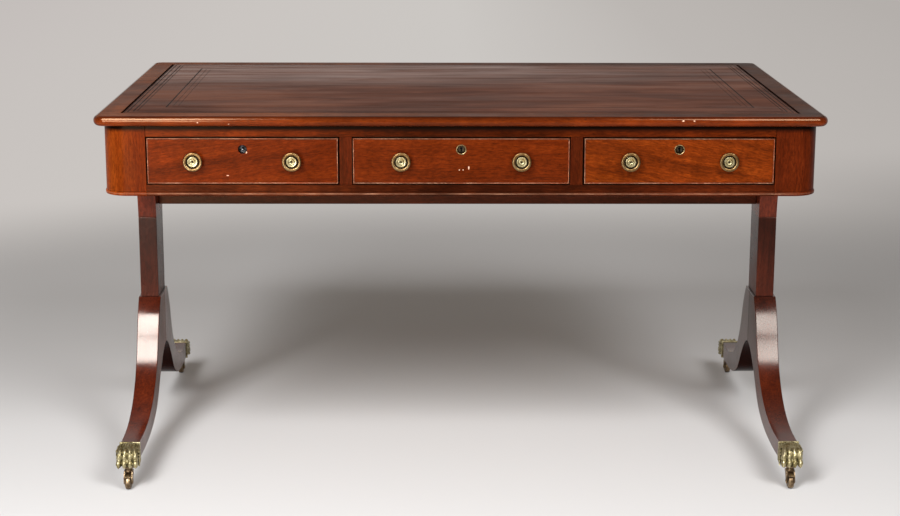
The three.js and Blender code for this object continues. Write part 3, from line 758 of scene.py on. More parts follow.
# Painted shade: a darker copy of the post tones, for the post on the right of each side
SHADED_RIGHT_POST_BROWN = ((48, 15, 4), (71, 22, 5), (90, 33, 8))
CENTRE_BROWN = ((56, 17, 4), (85, 28, 5), (107, 40, 8))
GOLDEN_BROWN = ((66, 23, 5), (101, 38, 7), (135, 60, 15))
DARK_BROWN = ((38, 13, 7), (64, 22, 12), (87, 34, 18))
LEG_BROWN = ((50, 15, 7), (78, 26, 10), (104, 39, 15))
BORDER_BROWN = ((60, 27, 12), (94, 49, 26), (126, 72, 41))
NOSE_BROWN = ((56, 18, 4), (90, 31, 6), (122, 50, 12))
HIDE_BROWN = ((68, 35, 22), (84, 46, 31), (102, 60, 42))
PINE = ((112, 76, 42), (158, 116, 70), (186, 146, 98))

# Chips in the polish: centre in metres, radii in millimetres
EDGE_CHIPS = (
    ((0.423, -0.425, 0.742), (2.4, 3, 1.6)), ((0.444, -0.425, 0.742), (2.0, 3, 1.4)),
    ((-0.502, -0.425, 0.738), (1.8, 3, 1.2)), ((-0.443, -0.425, 0.735), (1.6, 3, 1.0)),
)
LEFT_CHIPS = (((-0.448, -0.413, 0.634), (2.4, 4, 1.1)), ((-0.4115, -0.413, 0.679), (1.8, 5, 2.4)))
CENTRE_CHIPS = (
    ((0.0145, -0.413, 0.649), (1.4, 4, 3.7)), ((-0.0035, -0.413, 0.645), (1.2, 4, 1.3)),
    ((0.0035, -0.413, 0.645), (1.1, 4, 1.3)),
)

# How light a wood is along an axis, from 0 at the left end or the floor to 1 at the right end or the top
# RAIL_SHADE: painted shade, the upper rail darker in the middle under the top
RAIL_SHADE = ("X", ((0.0, 1.2), (0.25, 1.1), (0.42, 0.44), (0.6, 0.5), (0.8, 0.8), (1.0, 0.8)))
LOWER_SHADE = ("X", ((0.0, 1.0), (0.25, 0.9), (0.42, 0.5), (0.6, 0.54), (0.8, 1.0), (1.0, 1.0)))
DIVIDER_SHADE = ("X", ((0.34, 1.5), (0.66, 0.95)))
LEFT_SHADE = ("X", ((0.07, 1.3), (0.16, 1.04), (0.3, 0.95)))
# POST_SHADE: painted light, the left post lit on its round outer corner and shaded and redder further in
POST_SHADE = ("X", (
    (0.0, 1.4), (0.025, 1.2), (0.045, (0.78, 0.58, 0.42, 1.0)), (0.08, (0.72, 0.52, 0.36, 1.0)),
))
# TOP_SHADE: painted shade, the top's flat border darker towards the right
TOP_SHADE = ("X", ((0.0, 1.1), (0.5, 0.85), (0.9, 0.44)))
RIGHT_SHADE = ("X", ((0.72, 0.84), (0.8, 1.2), (0.88, 1.0)))
# LEG_SHADE: painted shade, the right trestle's legs darker
LEG_SHADE = ("X", ((0.4, 1.0), (0.6, 0.58)))
# STANDARD_SHADE: painted light, the standards' flared heads lighter above their scribed line and darker below
# it
HEAD_LINE = (standard_high.z - HEAD_HEIGHT) / top_high.z
STANDARD_SHADE = ("Z", (
    (leg_high.z / top_high.z, 1.0), (HEAD_LINE - 0.08, 0.6), (HEAD_LINE - 0.003, 0.5),
    (HEAD_LINE + 0.003, 1.9),
))

WOODS = {
    "top": mahogany(
        "top_mahogany", "X", BORDER_BROWN, figure=0.4, chips=EDGE_CHIPS, polish=0.36, gloss=0.06,
        nose=NOSE_BROWN, shade=TOP_SHADE,
    ),
    "post_left": mahogany(
        "post_mahogany_a", "Z", POST_BROWN, figure=0.2, shift=1.3, worn_and_highlit_crest=True, painted_eaves_shadow=True, shade=POST_SHADE,
    ),
    "post_right": mahogany(
        "post_mahogany_b", "Z", SHADED_RIGHT_POST_BROWN, figure=0.2, shift=1.9, worn_and_highlit_crest=True, painted_eaves_shadow=True,
    ),
    "panel": mahogany(
        "panel_mahogany", "Y", POST_BROWN, figure=0.3, shift=2.1, worn_and_highlit_crest=True, painted_eaves_shadow=True,
        index=BORDER_INDEX,
    ),
    "rail": mahogany(
        "rail_mahogany_a", "X", RAIL_BROWN, figure=0.4, shift=3.7, painted_eaves_shadow=True, shade=RAIL_SHADE,
    ),
    "lower_rail": mahogany(
        "rail_mahogany_b", "X", LOWER_RAIL_BROWN, figure=0.5, shift=4.9, worn_and_highlit_crest=True, shade=LOWER_SHADE,
    ),
    "divider": mahogany("divider_mahogany", "Z", DIVIDER_BROWN, shift=4.2, shade=DIVIDER_SHADE),
    "left": mahogany(
        "drawer_mahogany_a", "X", RED_BROWN, figure=0.12, slant=0.12, shift=5.9, chips=LEFT_CHIPS,
        shade=LEFT_SHADE,
    ),
    "centre": mahogany("drawer_mahogany_b", "X", CENTRE_BROWN, figure=0.15, shift=7.4, chips=CENTRE_CHIPS),
    "right": mahogany(
        "drawer_mahogany_c", "X", GOLDEN_BROWN, figure=0.3, slant=-0.2, shift=8.8, shade=RIGHT_SHADE,
    ),
    "standard": mahogany(
        "standard_mahogany", "Z", DARK_BROWN, figure=0.2, shift=9.5, polish=0.24, gloss=0.22,
        shade=STANDARD_SHADE, tint=AMBER,
    ),
    "leg": mahogany(
        "leg_mahogany", "Z", LEG_BROWN, figure=0.2, shift=11.2, polish=0.14, gloss=0.55,
        shade=LEG_SHADE, tint=ROSY, under=True,
    ),
    "stretcher": mahogany("stretcher_mahogany", "X", DARK_BROWN, figure=0.2, shift=12.6, gloss=0.2),
}
COCK_BEAD_WOOD = bead_with_painted_light("cock_bead_mahogany")
LINING_X = plain_wood("lining_wood_x", "X", PINE)
LINING_Y = plain_wood("lining_wood_y", "Y", PINE)
LEATHER = tooled_leather("tooled_leather")

# Tints of the turned brass: radius in millimetres, and a grey level or a colour
CREAM = srgb(255, 250, 226)
STRAW = srgb(238, 234, 208)
OLIVE = srgb(150, 134, 92)
UMBER = srgb(186, 158, 124)
KNOB_RINGS = (
    (0.0, 0.02), (1.6, 0.03), (2.2, STRAW), (4.4, STRAW), (5.6, OLIVE), (6.6, STRAW), (9.4, STRAW),
    (10.2, 0.09), (12.2, 0.12), (13.0, UMBER), (16.2, UMBER), (18.6, srgb(132, 104, 76)),
)
# Painted shade darkens the keyhole's cup, and a painted highlight lightens the rim round it
INSERT_RINGS = ((0.0, 0.42), (5.2, 0.3), (6.4, 0.1), (7.8, UMBER), (8.8, CREAM), (10.0, OLIVE))
BRASS = old_metal(
    "knob_brass", (212, 204, 180), (170, 152, 118), (72, 56, 36), reach=3.5, roughness=0.36,
    rings=KNOB_RINGS,
)
INSERT_BRASS = old_metal(
    "insert_brass", (190, 170, 140), (112, 92, 68), (10, 7, 5), reach=1.5, rings=INSERT_RINGS,
)
PAW_BRASS = old_metal("paw_brass", (196, 186, 148), (134, 122, 82), (48, 41, 22), reach=4.5, roughness=0.4)
CASTER_BRASS = old_metal("caster_brass", (156, 134, 104), (92, 73, 54), (20, 13, 9), roughness=0.34)
STEEL = old_metal("lock_steel", (190, 192, 196), (96, 92, 90), (8, 6, 6), reach=12, roughness=0.4)


# Top

def top_board():
    """Bullnosed board with round corners and a shallow bed for the leather."""
    rings = []
    for inset, z in (
        (-BED_CLEARANCE, top_high.z - BED_DEPTH), (-BED_CLEARANCE, top_high.z - BED_ARRIS),
        (-BED_CLEARANCE - BED_ARRIS, top_high.z),
    ):
        rings.append(rounded_ring(leather_high, inset, BED_CORNER_RADIUS - inset, z))
    middle_z = (top_low.z + top_high.z) / 2
    half_height = (top_high.z - top_low.z) / 2
    edge = [(-BED_ARRIS, top_high.z), *arc((0, middle_z), (EDGE_DEPTH, half_height), 90, -90, 16)]
    for out, z in edge:
        inset = EDGE_DEPTH - out
        rings.append(rounded_ring(top_high, inset, TOP_CORNER_RADIUS - inset, z))
    piece("top_board_wood", loft("top", rings), WOODS["top"], "top_board", smooth=40)


def leather_inset():
    """Hide with tooled lines pressed into it, drawn as one outline inside another."""
    surface = leather_high.z - LEATHER_SINK
    edge = surface - END_GAP_DEPTH
    profile = [(0.0, leather_low.z), (0.0, edge), (1.5 * MM, edge), (2.4 * MM, surface - 0.2 * MM)]
    profile.append((3.2 * MM, surface))
    for middle, width, depth in TOOLED_LINES:
        for offset, share in ((-0.5, 0), (-0.25, 0.85), (0.0, 1.0), (0.25, 0.85), (0.5, 0)):
            profile.append((middle + offset * width, surface - depth * share))
    rings = [rounded_ring(leather_high, inset, BED_CORNER_RADIUS, z, 3) for inset, z in profile]
    piece("leather_top", loft("leather", rings), LEATHER, "leather_inset", smooth=5)


# Frieze

def moulded_face(top):
    """(distance in front of the face, height) from the bead's foot to the top of a frieze piece."""
    middle = frieze_bottom + BEAD_HEIGHT / 2
    bead = arc((0, middle), (BEAD_PROUD, BEAD_HEIGHT / 2), -90, 90, 10)
    over = frieze_bottom + BEAD_HEIGHT
    return [*bead, (-BEAD_QUIRK, over + 0.1 * MM), (0.0, over + BEAD_QUIRK), (0.0, top)]


def corner_post(name, sign_x, turn):
    """Post on the near side, its outer face round in plan."""
    centre = (frieze_half_x - POST_RADIUS, frieze_half_y - POST_RADIUS)
    inner_x = post_low.x + SEAM
    inner_y = SEAM - post_high.y
    rings = []
    for proud, z in moulded_face(frieze_top):
        radius = POST_RADIUS + proud
        front = frieze_half_y + proud
        side = frieze_half_x + proud
        outline = [(inner_x, front - POST_ARRIS), (inner_x + SEAM, front)]
        outline += arc(centre, (radius, radius), 90, 0, 14)
        outline += [(side, inner_y + SEAM), (side - POST_ARRIS, inner_y), (inner_x, inner_y)]
        rings.append([(sign_x * x, -y, z) for x, y in outline])
    wood = WOODS["post_left" if sign_x < 0 else "post_right"]
    piece(name + "_wood", loft(name, rings), wood, name, turn, smooth=30)


def side_panel(name, sign_x):
    """End panel between two posts."""
    section = [(frieze_half_x + proud, z) for proud, z in moulded_face(frieze_top)]
    section += [(panel_low.x, frieze_top), (panel_low.x, frieze_bottom)]
    ends = (panel_low.y + SEAM, panel_high.y - SEAM)
    rings = [[(sign_x * x, y, z) for x, z in section] for y in ends]
    piece(name + "_wood", loft(name, rings), WOODS["panel"], name, smooth=30)


def drawer_frame(node, turn):
    """Rails above and below the drawers and the dividers between them."""
    face = -frieze_half_y
    back = face + RAIL_THICKNESS
    end = rail_high.x
    opening_top = frieze_top - TOP_RAIL_HEIGHT + CLEARANCE
    opening_bottom = frieze_bottom + BOTTOM_RAIL_HEIGHT
    section = [(face - proud, z) for proud, z in moulded_face(opening_bottom)]
    section += [(back, opening_bottom), (back, frieze_bottom)]
    lower = prism(node, section, (-end, end))
    piece(node + "_lower_rail", lower, WOODS["lower_rail"], node, turn, smooth=30)
    board(node + "_upper_rail", (-end, face, opening_top), (end, back, frieze_top), WOODS["rail"], node, turn)
    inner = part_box("drawer_front_front_centre")[1].x + DIVIDER_GAP
    for hand, sign in (("left", -1), ("right", 1)):
        left, right = sorted((sign * inner, sign * (inner + DIVIDER_WIDTH)))
        board(
            f"{node}_divider_{hand}", (left, face, opening_bottom + SEAM / 2),
            (right, back, opening_top - SEAM / 2), WOODS["divider"], node, turn,
        )


# Drawers

def near_box(node, turn):
    """A node's box, turned to the near side if the node lies on the far one."""
    low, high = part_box(node)
    if turn:
        low, high = Vector((-high.x, -high.y, low.z)), Vector((-low.x, -low.y, high.z))
    return low, high


def drawer_front(label, wood, turn, knob_xs):
    """Field with its bored holes, inside a cock bead with mitred corners."""
    node = f"drawer_front_{label}"
    low, high = near_box(node, turn)
    face = low.y + COCK_BEAD_PROUD
    x = (low.x + high.x) / 2
    z = (low.z + high.z) / 2
    inset = COCK_BEAD_WIDTH + FIELD_GAP
    field = box_mesh("field", (low.x + inset, face, low.z + inset), (high.x - inset, high.y, high.z - inset))
    clear = 5 * MM
    holes = []
    for hole_x, hole_z, radius in (
        *((knob_x, z, STEM_BORE) for knob_x in knob_xs), (x, z + KEYHOLE_RISE, KEYHOLE_BORE),
    ):
        drill = lathe("drill", [(radius, face - clear), (radius, high.y + clear)], 40)
        holes.append(moved(drill, (hole_x, 0, hole_z)))
    lock_low, lock_high = near_box(f"lock_{label}", turn)
    bed_top = min(lock_high.z + LOCK_CLEARANCE, high.z - 2 * inset)
    holes.append(box_mesh(
        "bed",
        (lock_low.x - LOCK_CLEARANCE, high.y - LOCK_DEPTH - LOCK_CLEARANCE, lock_low.z - LOCK_CLEARANCE),
        (lock_high.x + LOCK_CLEARANCE, high.y + clear, bed_top),
    ))
    piece(node + "_field", cut(field, holes), wood, node, turn, smooth=30)

    nose = COCK_BEAD_WIDTH / 2
    half_round = arc((nose, low.y + nose), (nose, nose), 180, 360, 8)
    section = [(0.0, high.y), *half_round, (COCK_BEAD_WIDTH, high.y)]
    rings = []
    for edge, y in section:
        left, right, bottom, top = low.x + edge, high.x - edge, low.z + edge, high.z - edge
        rings.append([(left, y, bottom), (right, y, bottom), (right, y, top), (left, y, top)])
    bead = loft(node, rings, loop=True)
    across = bead.attributes.new("across_bead", "FLOAT", "POINT")
    for index, corner in enumerate(bead.vertices):
        x, _, z = corner.co
        across.data[index].value = min(x - low.x, high.x - x, z - low.z, high.z - z) / COCK_BEAD_WIDTH
    piece(node + "_cock_bead", bead, COCK_BEAD_WOOD, node, turn, smooth=50)


def drawer_box(label, turn):
    """Sides, back and bottom of a drawer."""
    node = f"drawer_box_{label}"
    low, high = near_box(node, turn)
    left = low.x + LINING
    right = high.x - LINING
    back = high.y - LINING
    bottom = low.z + BOTTOM_RAISE
    over = bottom + BOTTOM_THICKNESS
    boards = (
        ("side_left", (low.x, low.y, low.z), (left, high.y, high.z), LINING_Y),
        ("side_right", (right, low.y, low.z), (high.x, high.y, high.z), LINING_Y),
        (
            "back", (left + GLUE_LINE, back, over + GLUE_LINE),
            (right - GLUE_LINE, high.y, high.z - BACK_DROP), LINING_X,
        ),
        ("bottom", (left + GLUE_LINE, low.y, bottom), (right - GLUE_LINE, high.y, over), LINING_X),
    )
    for part, start, end, wood in boards:
        board(f"{node}_{part}", start, end, wood, node, turn)


def knob_profile():
    """Nut, stem, base, neck and a head with a round rim, a deep groove, and a disc with a ring on it
    round a dimple: (radius, height in front of the drawer)."""
    nut = [(0, -24.2), (6.0, -24.2), (6.5, -23.7), (6.5, -20.7), (6.0, -20.2), (3.0, -20.2)]
    base = [(3.0, 0.2), (10.4, 0.2), (11.0, 0.8), (10.6, 1.8), (8.6, 2.2)]
    neck = [(6.6, 3.2), (6.0, 5.0), (6.2, 7.4), (7.6, 8.8), (10.5, 9.8), (14.0, 11.2)]
    rim = arc((16.2, 13.6), (2.5, 2.5), -70, 90, 9) + arc((14.8, 13.4), (2.2, 2.6), 90, 180, 6)
    groove = [(12.4, 12.6), (11.6, 12.0), (10.8, 12.2), (10.2, 13.0)]
    disc = arc((9.0, 14.2), (1.1, 1.0), 0, 100, 5) + [(7.4, 14.9), (6.3, 14.8)]
    ring = arc((4.4, 14.9), (1.6, 1.1), 20, 160, 6)
    dimple = [(2.3, 14.9), (1.5, 13.9), (0, 13.4)]
    return in_mm([*nut, *base, *neck, *rim, *groove, *disc, *ring, *dimple])


def knob(node, turn):
    """Turned brass knob at its own origin, so that its colours follow its rings."""
    low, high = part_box(node)
    middle = (low + high) / 2
    face = frieze_half_y if turn else -frieze_half_y
    mesh = moved(lathe(node, knob_profile(), 72), turn=180 - turn)
    piece(node + "_brass", mesh, BRASS, node, smooth=50, origin=Vector((middle.x, face, middle.z)))


def lock(label, turn):
    """Steel case behind the front, and the brass keyhole insert if the drawer still has one."""
    node = f"lock_{label}"
    low, high = near_box(node, turn)
    front_low, front_high = near_box(f"drawer_front_{label}", turn)
    face = front_low.y + COCK_BEAD_PROUD
    x = (low.x + high.x) / 2
    z = (front_low.z + front_high.z) / 2 + KEYHOLE_RISE
    case_front = high.y - LOCK_DEPTH
    case = box_mesh(node, (low.x, case_front, low.z), (high.x, high.y, high.z))
    piece(node + "_case", case, STEEL, node, turn, ease=0.6 * MM)
    if SLOT_OF[node] == "lock_steel":
        pin = in_mm(((0, 1), (1.3, 1), (1.8, 1.6)), face) + in_mm(((1.8, 0), (0, 0)), case_front)
        plate = in_mm(((0, -1.4), (5.5, -1.4), (6.2, -0.8), (6.2, 0), (0, 0)), case_front)
        for name, profile, segments, right, down in (
            ("key_pin", pin, 24, 0, 0), ("ward_plate", plate, 32, 1.6 * MM, 2.2 * MM),
        ):
            mesh = moved(lathe(node, profile, segments), (x + right, 0, z - down))
            piece(f"{node}_{name}", mesh, STEEL, node, turn)
        return
    nozzle = KEYHOLE_BORE - LOCK_CLEARANCE
    cup = face + CUP_DEPTH
    profile = [(0, case_front), (nozzle, case_front)]
    profile += [(nozzle, face - 0.15 * MM), (FLANGE_RADIUS, face - 0.15 * MM)]
    profile += arc((FLANGE_RADIUS - FLANGE_EDGE, face - 0.3 * MM), (FLANGE_EDGE, 0.7 * MM), 0, -90, 4)
    profile += in_mm(((8.4, -0.8), (7.6, 0)), face) + in_mm(((7.0, -1), (6.2, 0), (0, 0)), cup)
    near = cup - 2 * MM
    far = cup + 8 * MM
    eye = moved(lathe("eye", [(0, near), (2.8 * MM, near), (2.8 * MM, far), (0, far)], 24), (0, 0, 1.8 * MM))
    slit = box_mesh("slit", (-1.3 * MM, near, -5.2 * MM), (1.3 * MM, far, 1.8 * MM))
    insert = moved(cut(lathe(node, profile, 48), [eye, slit]), (0, -face, 0))
    centre = Vector((-x, -face, z) if turn else (x, face, z))
    piece(node + "_insert", insert, INSERT_BRASS, node, turn, smooth=40, origin=centre)


# Trestles

def leg_outline():
    """Side outline of one sabre leg as (reach, height) points, from the arch round to the shoulder."""
    foot = fork_high.z - CAP_DEPTH + FOOT_RISE
    ankle = foot + ANKLE_HEIGHT
    shoulder = leg_high.z
    arch = foot + ARCH_RISE
    end = leg_high.y - CAP_WALL
    outline = [(NEAR_MIDDLE, arch)]
    outline += bend(outline[-1], (40 * MM, arch), (115 * MM, foot + 60 * MM), 16)
    outline += bend(outline[-1], (165 * MM, foot + 2 * MM), (ANKLE_REACH, foot), 20)
    outline += [(end, foot), (end, ankle), (ANKLE_REACH, ankle)]
    outline += bend(outline[-1], (158 * MM, ankle + 3 * MM), (101 * MM, shoulder - 82 * MM), 20)
    outline += bend(outline[-1], (83 * MM, shoulder - 34 * MM), (50 * MM, shoulder), 12)
    return [*outline, (NEAR_MIDDLE, shoulder)]


def sabre_leg(node, place, turn):
    """Leg that tapers in width towards its ankle."""
    full = leg_high.x - leg_low.x
    rings = [
        [(side * (full + (ANKLE_WIDTH - full) * y / leg_high.y) / 2, y, z) for y, z in leg_outline()]
        for side in (-1, 1)
    ]
    mesh = moved(loft(node, rings), place, turn)
    piece(node + "_wood", mesh, WOODS["leg"], node, ease=ARRIS, smooth=32)


def standard(node, place):
    """Upright with a head that flares out under the frieze, over a scribed line."""
    half = STANDARD_WIDTH / 2
    head = standard_high.y
    top = standard_high.z
    line = top - HEAD_HEIGHT
    right = [(half, leg_high.z + CLEARANCE), (half, line - HEAD_NOTCH), (half - HEAD_NOTCH, line)]
    right.append((half + HEAD_PROUD, line + HEAD_NOTCH))
    right += bend(right[-1], (half + 3 * MM, line + 0.4 * HEAD_HEIGHT), (head, top - HEAD_LIP), 10)
    right.append((head, top))
    outline = right + [(-y, z) for y, z in reversed(right)]
    half_width = (standard_high.x - standard_low.x) / 2
    mesh = moved(prism(node, outline, (-half_width, half_width)), place)
    piece(node + "_wood", mesh, WOODS["standard"], node, ease=STANDARD_ARRIS, smooth=32)


def blob(work, centre, radii, pitch=0.0, yaw=0.0):
    """An ellipsoid in a bmesh, in millimetres, pitched nose down and turned sideways in degrees."""
    matrix = Matrix.Translation(Vector(centre) * MM)
    matrix = matrix @ Matrix.Rotation(math.radians(yaw), 4, "Z")
    matrix = matrix @ Matrix.Rotation(math.radians(-pitch), 4, "X")
    matrix = matrix @ Matrix.Diagonal((*(radius * MM for radius in radii), 1))
    bmesh.ops.create_icosphere(work, subdivisions=3, radius=1, matrix=matrix)


# The paw in millimetres. A part of a toe has its share of the toe's place sideways, its distance
# behind the tip, its height, its radii and its pitch: knuckle, middle, pad and claw.
TOE_PARTS = (
    (0.9, 19, 27.5, (5.4, 12, 10), 38),
    (0.98, 12.5, 19, (5.6, 7.4, 11), 22),
    (1.04, 9, 8.8, (5.5, 8.8, 8.6), 6),
    (1.04, 2.6, 4.6, (1.7, 2.4, 4.4), -18),
)
TOE_PITCH = 10.6
LOCK_PITCH = 5.6
ROW_PITCH = 6.6


def lion_paw_mesh():
    """Paw cap for the far right leg: locks of fur that fall over four long toes with claws, and a
    plain collar."""
    work = bmesh.new()
    floor = paw_low.z / MM
    tip = paw_high.y / MM
    collar = paw_low.y / MM
    blob(work, (0, collar + 20, floor + 20), (20, 20, 19), 12)
    blob(work, (0, collar + 12, floor + 23), (20.5, 14, 18))
    blob(work, (0, collar + 29, floor + 13), (20.5, 18, 12.5))
    for index in range(4):
        off = index - 1.5
        for share, behind, height, radii, pitch in TOE_PARTS:
            blob(work, (off * TOE_PITCH * share, tip - behind, floor + height), radii, pitch, off * -4)
    for index in range(7):
        off = index - 3
        x = off * LOCK_PITCH
        fall = (index * 5) % 7
        upper = (x * 0.92, collar + 17 + fall * 0.5, floor + 36.5 - abs(off))
        lower = (x * 1.02 + (1.2 if index % 2 else -1.2), tip - 13.5 + fall * 0.2, floor + 26 - fall * 0.8)
        blob(work, upper, (2.3, 11, 4.4), 24)
        blob(work, lower, (1.9, 4.4, 9.5), 26, off * 3)
    for side in (-1, 1):
        for row in range(5):
            height = floor + 7.5 + row * ROW_PITCH
            blob(work, (side * 20.6, collar + 15 + row, height), (2.4, 11, 2.7), 26 - row * 4, side * -4)
            blob(work, (side * 21.2, collar + 29, height - 2), (2.3, 8.5, 2.5), 34 - row * 4, side * -9)
    mesh = bpy.data.meshes.new("paw")
    work.to_mesh(mesh)
    work.free()
    item = new_object("paw", mesh)
    skin = item.modifiers.new("skin", "REMESH")
    skin.mode = "VOXEL"
    skin.voxel_size = PAW_GRID
    soften = item.modifiers.new("soften", "SMOOTH")
    soften.factor = 0.5
    soften.iterations = 2
    under = box_mesh("under", (-0.1, 0.3, 0.0), (0.1, 0.5, paw_low.z))
    half = COLLAR_WIDTH / 2
    return cut(applied(item), [under]), box_mesh(
        "collar", (-half, paw_low.y, paw_low.z + 0.4 * MM),
        (half, paw_low.y + COLLAR_LENGTH, paw_high.z - 1.4 * MM),
    )


def lion_paw(node, place, turn, meshes):
    """Brass cap over a leg's end."""
    for mesh, part, ease, smooth in zip(meshes, ("cast", "collar"), (0.0, 1.2 * MM), (80, 35)):
        copy = moved(mesh.copy(), place, turn)
        piece(f"{node}_{part}", copy, PAW_BRASS, node, ease=ease, smooth=smooth)


# Casters

def caster_fork(axle_y, axle_z, wheel_half, crown):
    """Hood over the wheel, rounded cheeks with rivets, an axle, and a turned pivot."""
    axle_place = (0, axle_y, axle_z)
    inner = wheel_half + CHEEK_GAP
    outer = inner + CHEEK_THICKNESS
    cheek = [(SWIVEL_Y - 8 * MM, crown + CHEEK_FOOT), (SWIVEL_Y - 8.4 * MM, crown)]
    cheek += bend(cheek[-1], (axle_y - 7.5 * MM, axle_z + 9 * MM), (axle_y - EYE_RADIUS, axle_z), 8)
    cheek += arc((axle_y, axle_z), (EYE_RADIUS, EYE_RADIUS), 180, 360, 14)[1:]
    cheek += bend(cheek[-1], (axle_y + 7 * MM, axle_z + 12 * MM), (SWIVEL_Y + 9 * MM, crown), 8)
    cheek.append((SWIVEL_Y + 8 * MM, crown + CHEEK_FOOT))
    hood = arc((axle_y, axle_z), (HOOD_OUTER, HOOD_OUTER), *HOOD_ANGLES, 10)
    hood += reversed(arc((axle_y, axle_z), (HOOD_INNER, HOOD_INNER), *HOOD_ANGLES, 10))
    parts = [prism("hood", hood, (-inner, inner))]
    rivet = in_mm(((0, -0.4), (3.4, -0.4), (3.2, 0.4), (2.2, 0.9), (0, 1.0)), outer)
    for side in (-1, 1):
        parts.append(prism("cheek", cheek, (side * inner, side * outer)))
        parts.append(moved(lathe("rivet", rivet, 24), axle_place, -side * 90))
    axle = [(0, -outer), (AXLE_RADIUS, -outer), (AXLE_RADIUS, outer), (0, outer)]
    parts.append(moved(lathe("axle", axle, 24), axle_place, 90))
    disc_top = paw_low.z - CLEARANCE
    pivot = in_mm(
        ((0, 0), (8.4, 0), (9.2, 2.4), (8.8, 5.6), (7.0, 7.6), (6.8, 8.8), (10.2, 9.8), (11, 11)), crown,
    )
    pivot += in_mm(((11, -0.6), (10.4, 0), (3.5, 0)), disc_top) + in_mm(((3.5, 0), (0, 0)), fork_high.z)
    parts.append(moved(lathe("stem", pivot, 40), (0, SWIVEL_Y, 0), 90, "X"))
    return merged("fork", parts)


def caster(end, row, place, turn):
    """Fork on a turned pivot, and a wheel with a crowned tread."""
    axle_y = (wheel_low.y + wheel_high.y) / 2
    axle_z = (wheel_low.z + wheel_high.z) / 2
    radius = (wheel_high.z - wheel_low.z) / 2
    wheel_half = (wheel_high.x - wheel_low.x) / 2
    tread = in_mm((
        (2.3, -5.3), (4.6, -5.5), (5.2, -4.6), (9.4, -4.2), (11.4, -5.2), (12.6, -5.5),
        (13.9, -4.9), (14.7, -3.6), (15.0, -1.6),
    ))
    tread += [(out, -across) for out, across in reversed(tread)]
    tread = [(min(out, radius), across) for out, across in tread]
    wheel = moved(lathe("wheel", tread, 64, loop=True), (0, axle_y, axle_z), -90)
    fork = caster_fork(axle_y, axle_z, wheel_half, axle_z + radius + CROWN_GAP)
    for mesh, part, ease in ((fork, "fork", 0.5 * MM), (wheel, "wheel", 0.0)):
        node = f"caster_{part}_{row}_{end}"
        piece(node + "_brass", moved(mesh, place, turn), CASTER_BRASS, node, ease=ease, smooth=40)


# Assembly

top_board()
leather_inset()

# Frieze and drawers are drawn for the near side, and turned by half a turn for the far one
for row, turn, hands in (
    ("front", 0, {"left": -1, "centre": 0, "right": 1}),
    ("rear", 180, {"right": -1, "centre": 0, "left": 1}),
):
    drawer_frame(f"{row}_frame", turn)
    for hand, sign in hands.items():
        label = f"{row}_{hand}"
        if sign:
            corner_post(f"corner_post_{label}", sign, turn)
        knobs = [f"knob_{label}_{letter}" for letter in "ab"]
        centres = [sum(near_box(node, turn), Vector()) / 2 for node in knobs]
        drawer_front(label, WOODS[hand], turn, [centre.x for centre in centres])
        drawer_box(label, turn)
        for node in knobs:
            knob(node, turn)
        lock(label, turn)
side_panel("side_panel_left", -1)
side_panel("side_panel_right", 1)

# Legs, paws and casters are drawn for the far side, and turned for the near one
PAW_MESHES = lion_paw_mesh()
for end, sign in (("left", -1), ("right", 1)):
    place = (sign * trestle_x, 0, 0)
    standard(f"standard_{end}", place)
    for row, turn in (("front", 180), ("rear", 0)):
        sabre_leg(f"leg_{row}_{end}", place, turn)
        lion_paw(f"paw_{row}_{end}", place, turn, PAW_MESHES)
        caster(end, row, place, turn)

stretcher_low, stretcher_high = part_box("trestle_rail")
inner_face = standard_low.x - CLEARANCE
board(
    "trestle_rail_wood", (-inner_face, stretcher_low.y, stretcher_low.z),
    (inner_face, stretcher_high.y, stretcher_high.z), WOODS["stretcher"], "trestle_rail", ease=1.2 * MM,
)
carcass = frame["nodes"]["carcass_frame"]
carcass.data.materials.clear()
carcass.data.materials.append(LINING_Y)


# Stage

FLOOR_RADIUS = 40.0
FLOOR_THICKNESS = 0.02
FLOOR_NEAR = 1.85
FLOOR_FAR = 3.0
FRONT_NEAR = 0.6
FRONT_FAR = 1.6
# Painted pool of lamp light that the camera sees on the floor in front of the desk
LIT_RADIUS = 8.0
LIT_TONE = srgb(228, 224, 221)
HORIZON_NEAR = 11.0
HORIZON_FAR = 22.0
BACKDROP = srgb(200, 195, 191)
BACKDROP_HALF_WIDTH = 3.2
# Painted shade: the backdrop's grey darker towards the right
BACKDROP_TONES = (
    (0.0, srgb(196, 190, 187)), (0.3, srgb(202, 197, 193)), (0.52, srgb(203, 199, 195)),
    (0.72, srgb(188, 183, 179)), (1.0, srgb(180, 175, 171)),
)
PAPER = srgb(218, 217, 217)
SURROUNDINGS = srgb(214, 203, 192)
AMBIENT = 0.28
DIM_SHARE = 0.25
# Painted shade: the floor darker round a point at its far right
PAINTED_SHADE_CORNER = (2.3, 1.9, 0.0)
PAINTED_SHADE_REACH = 2.0
LAMP_AIM = Vector((0, 0, 0.55))


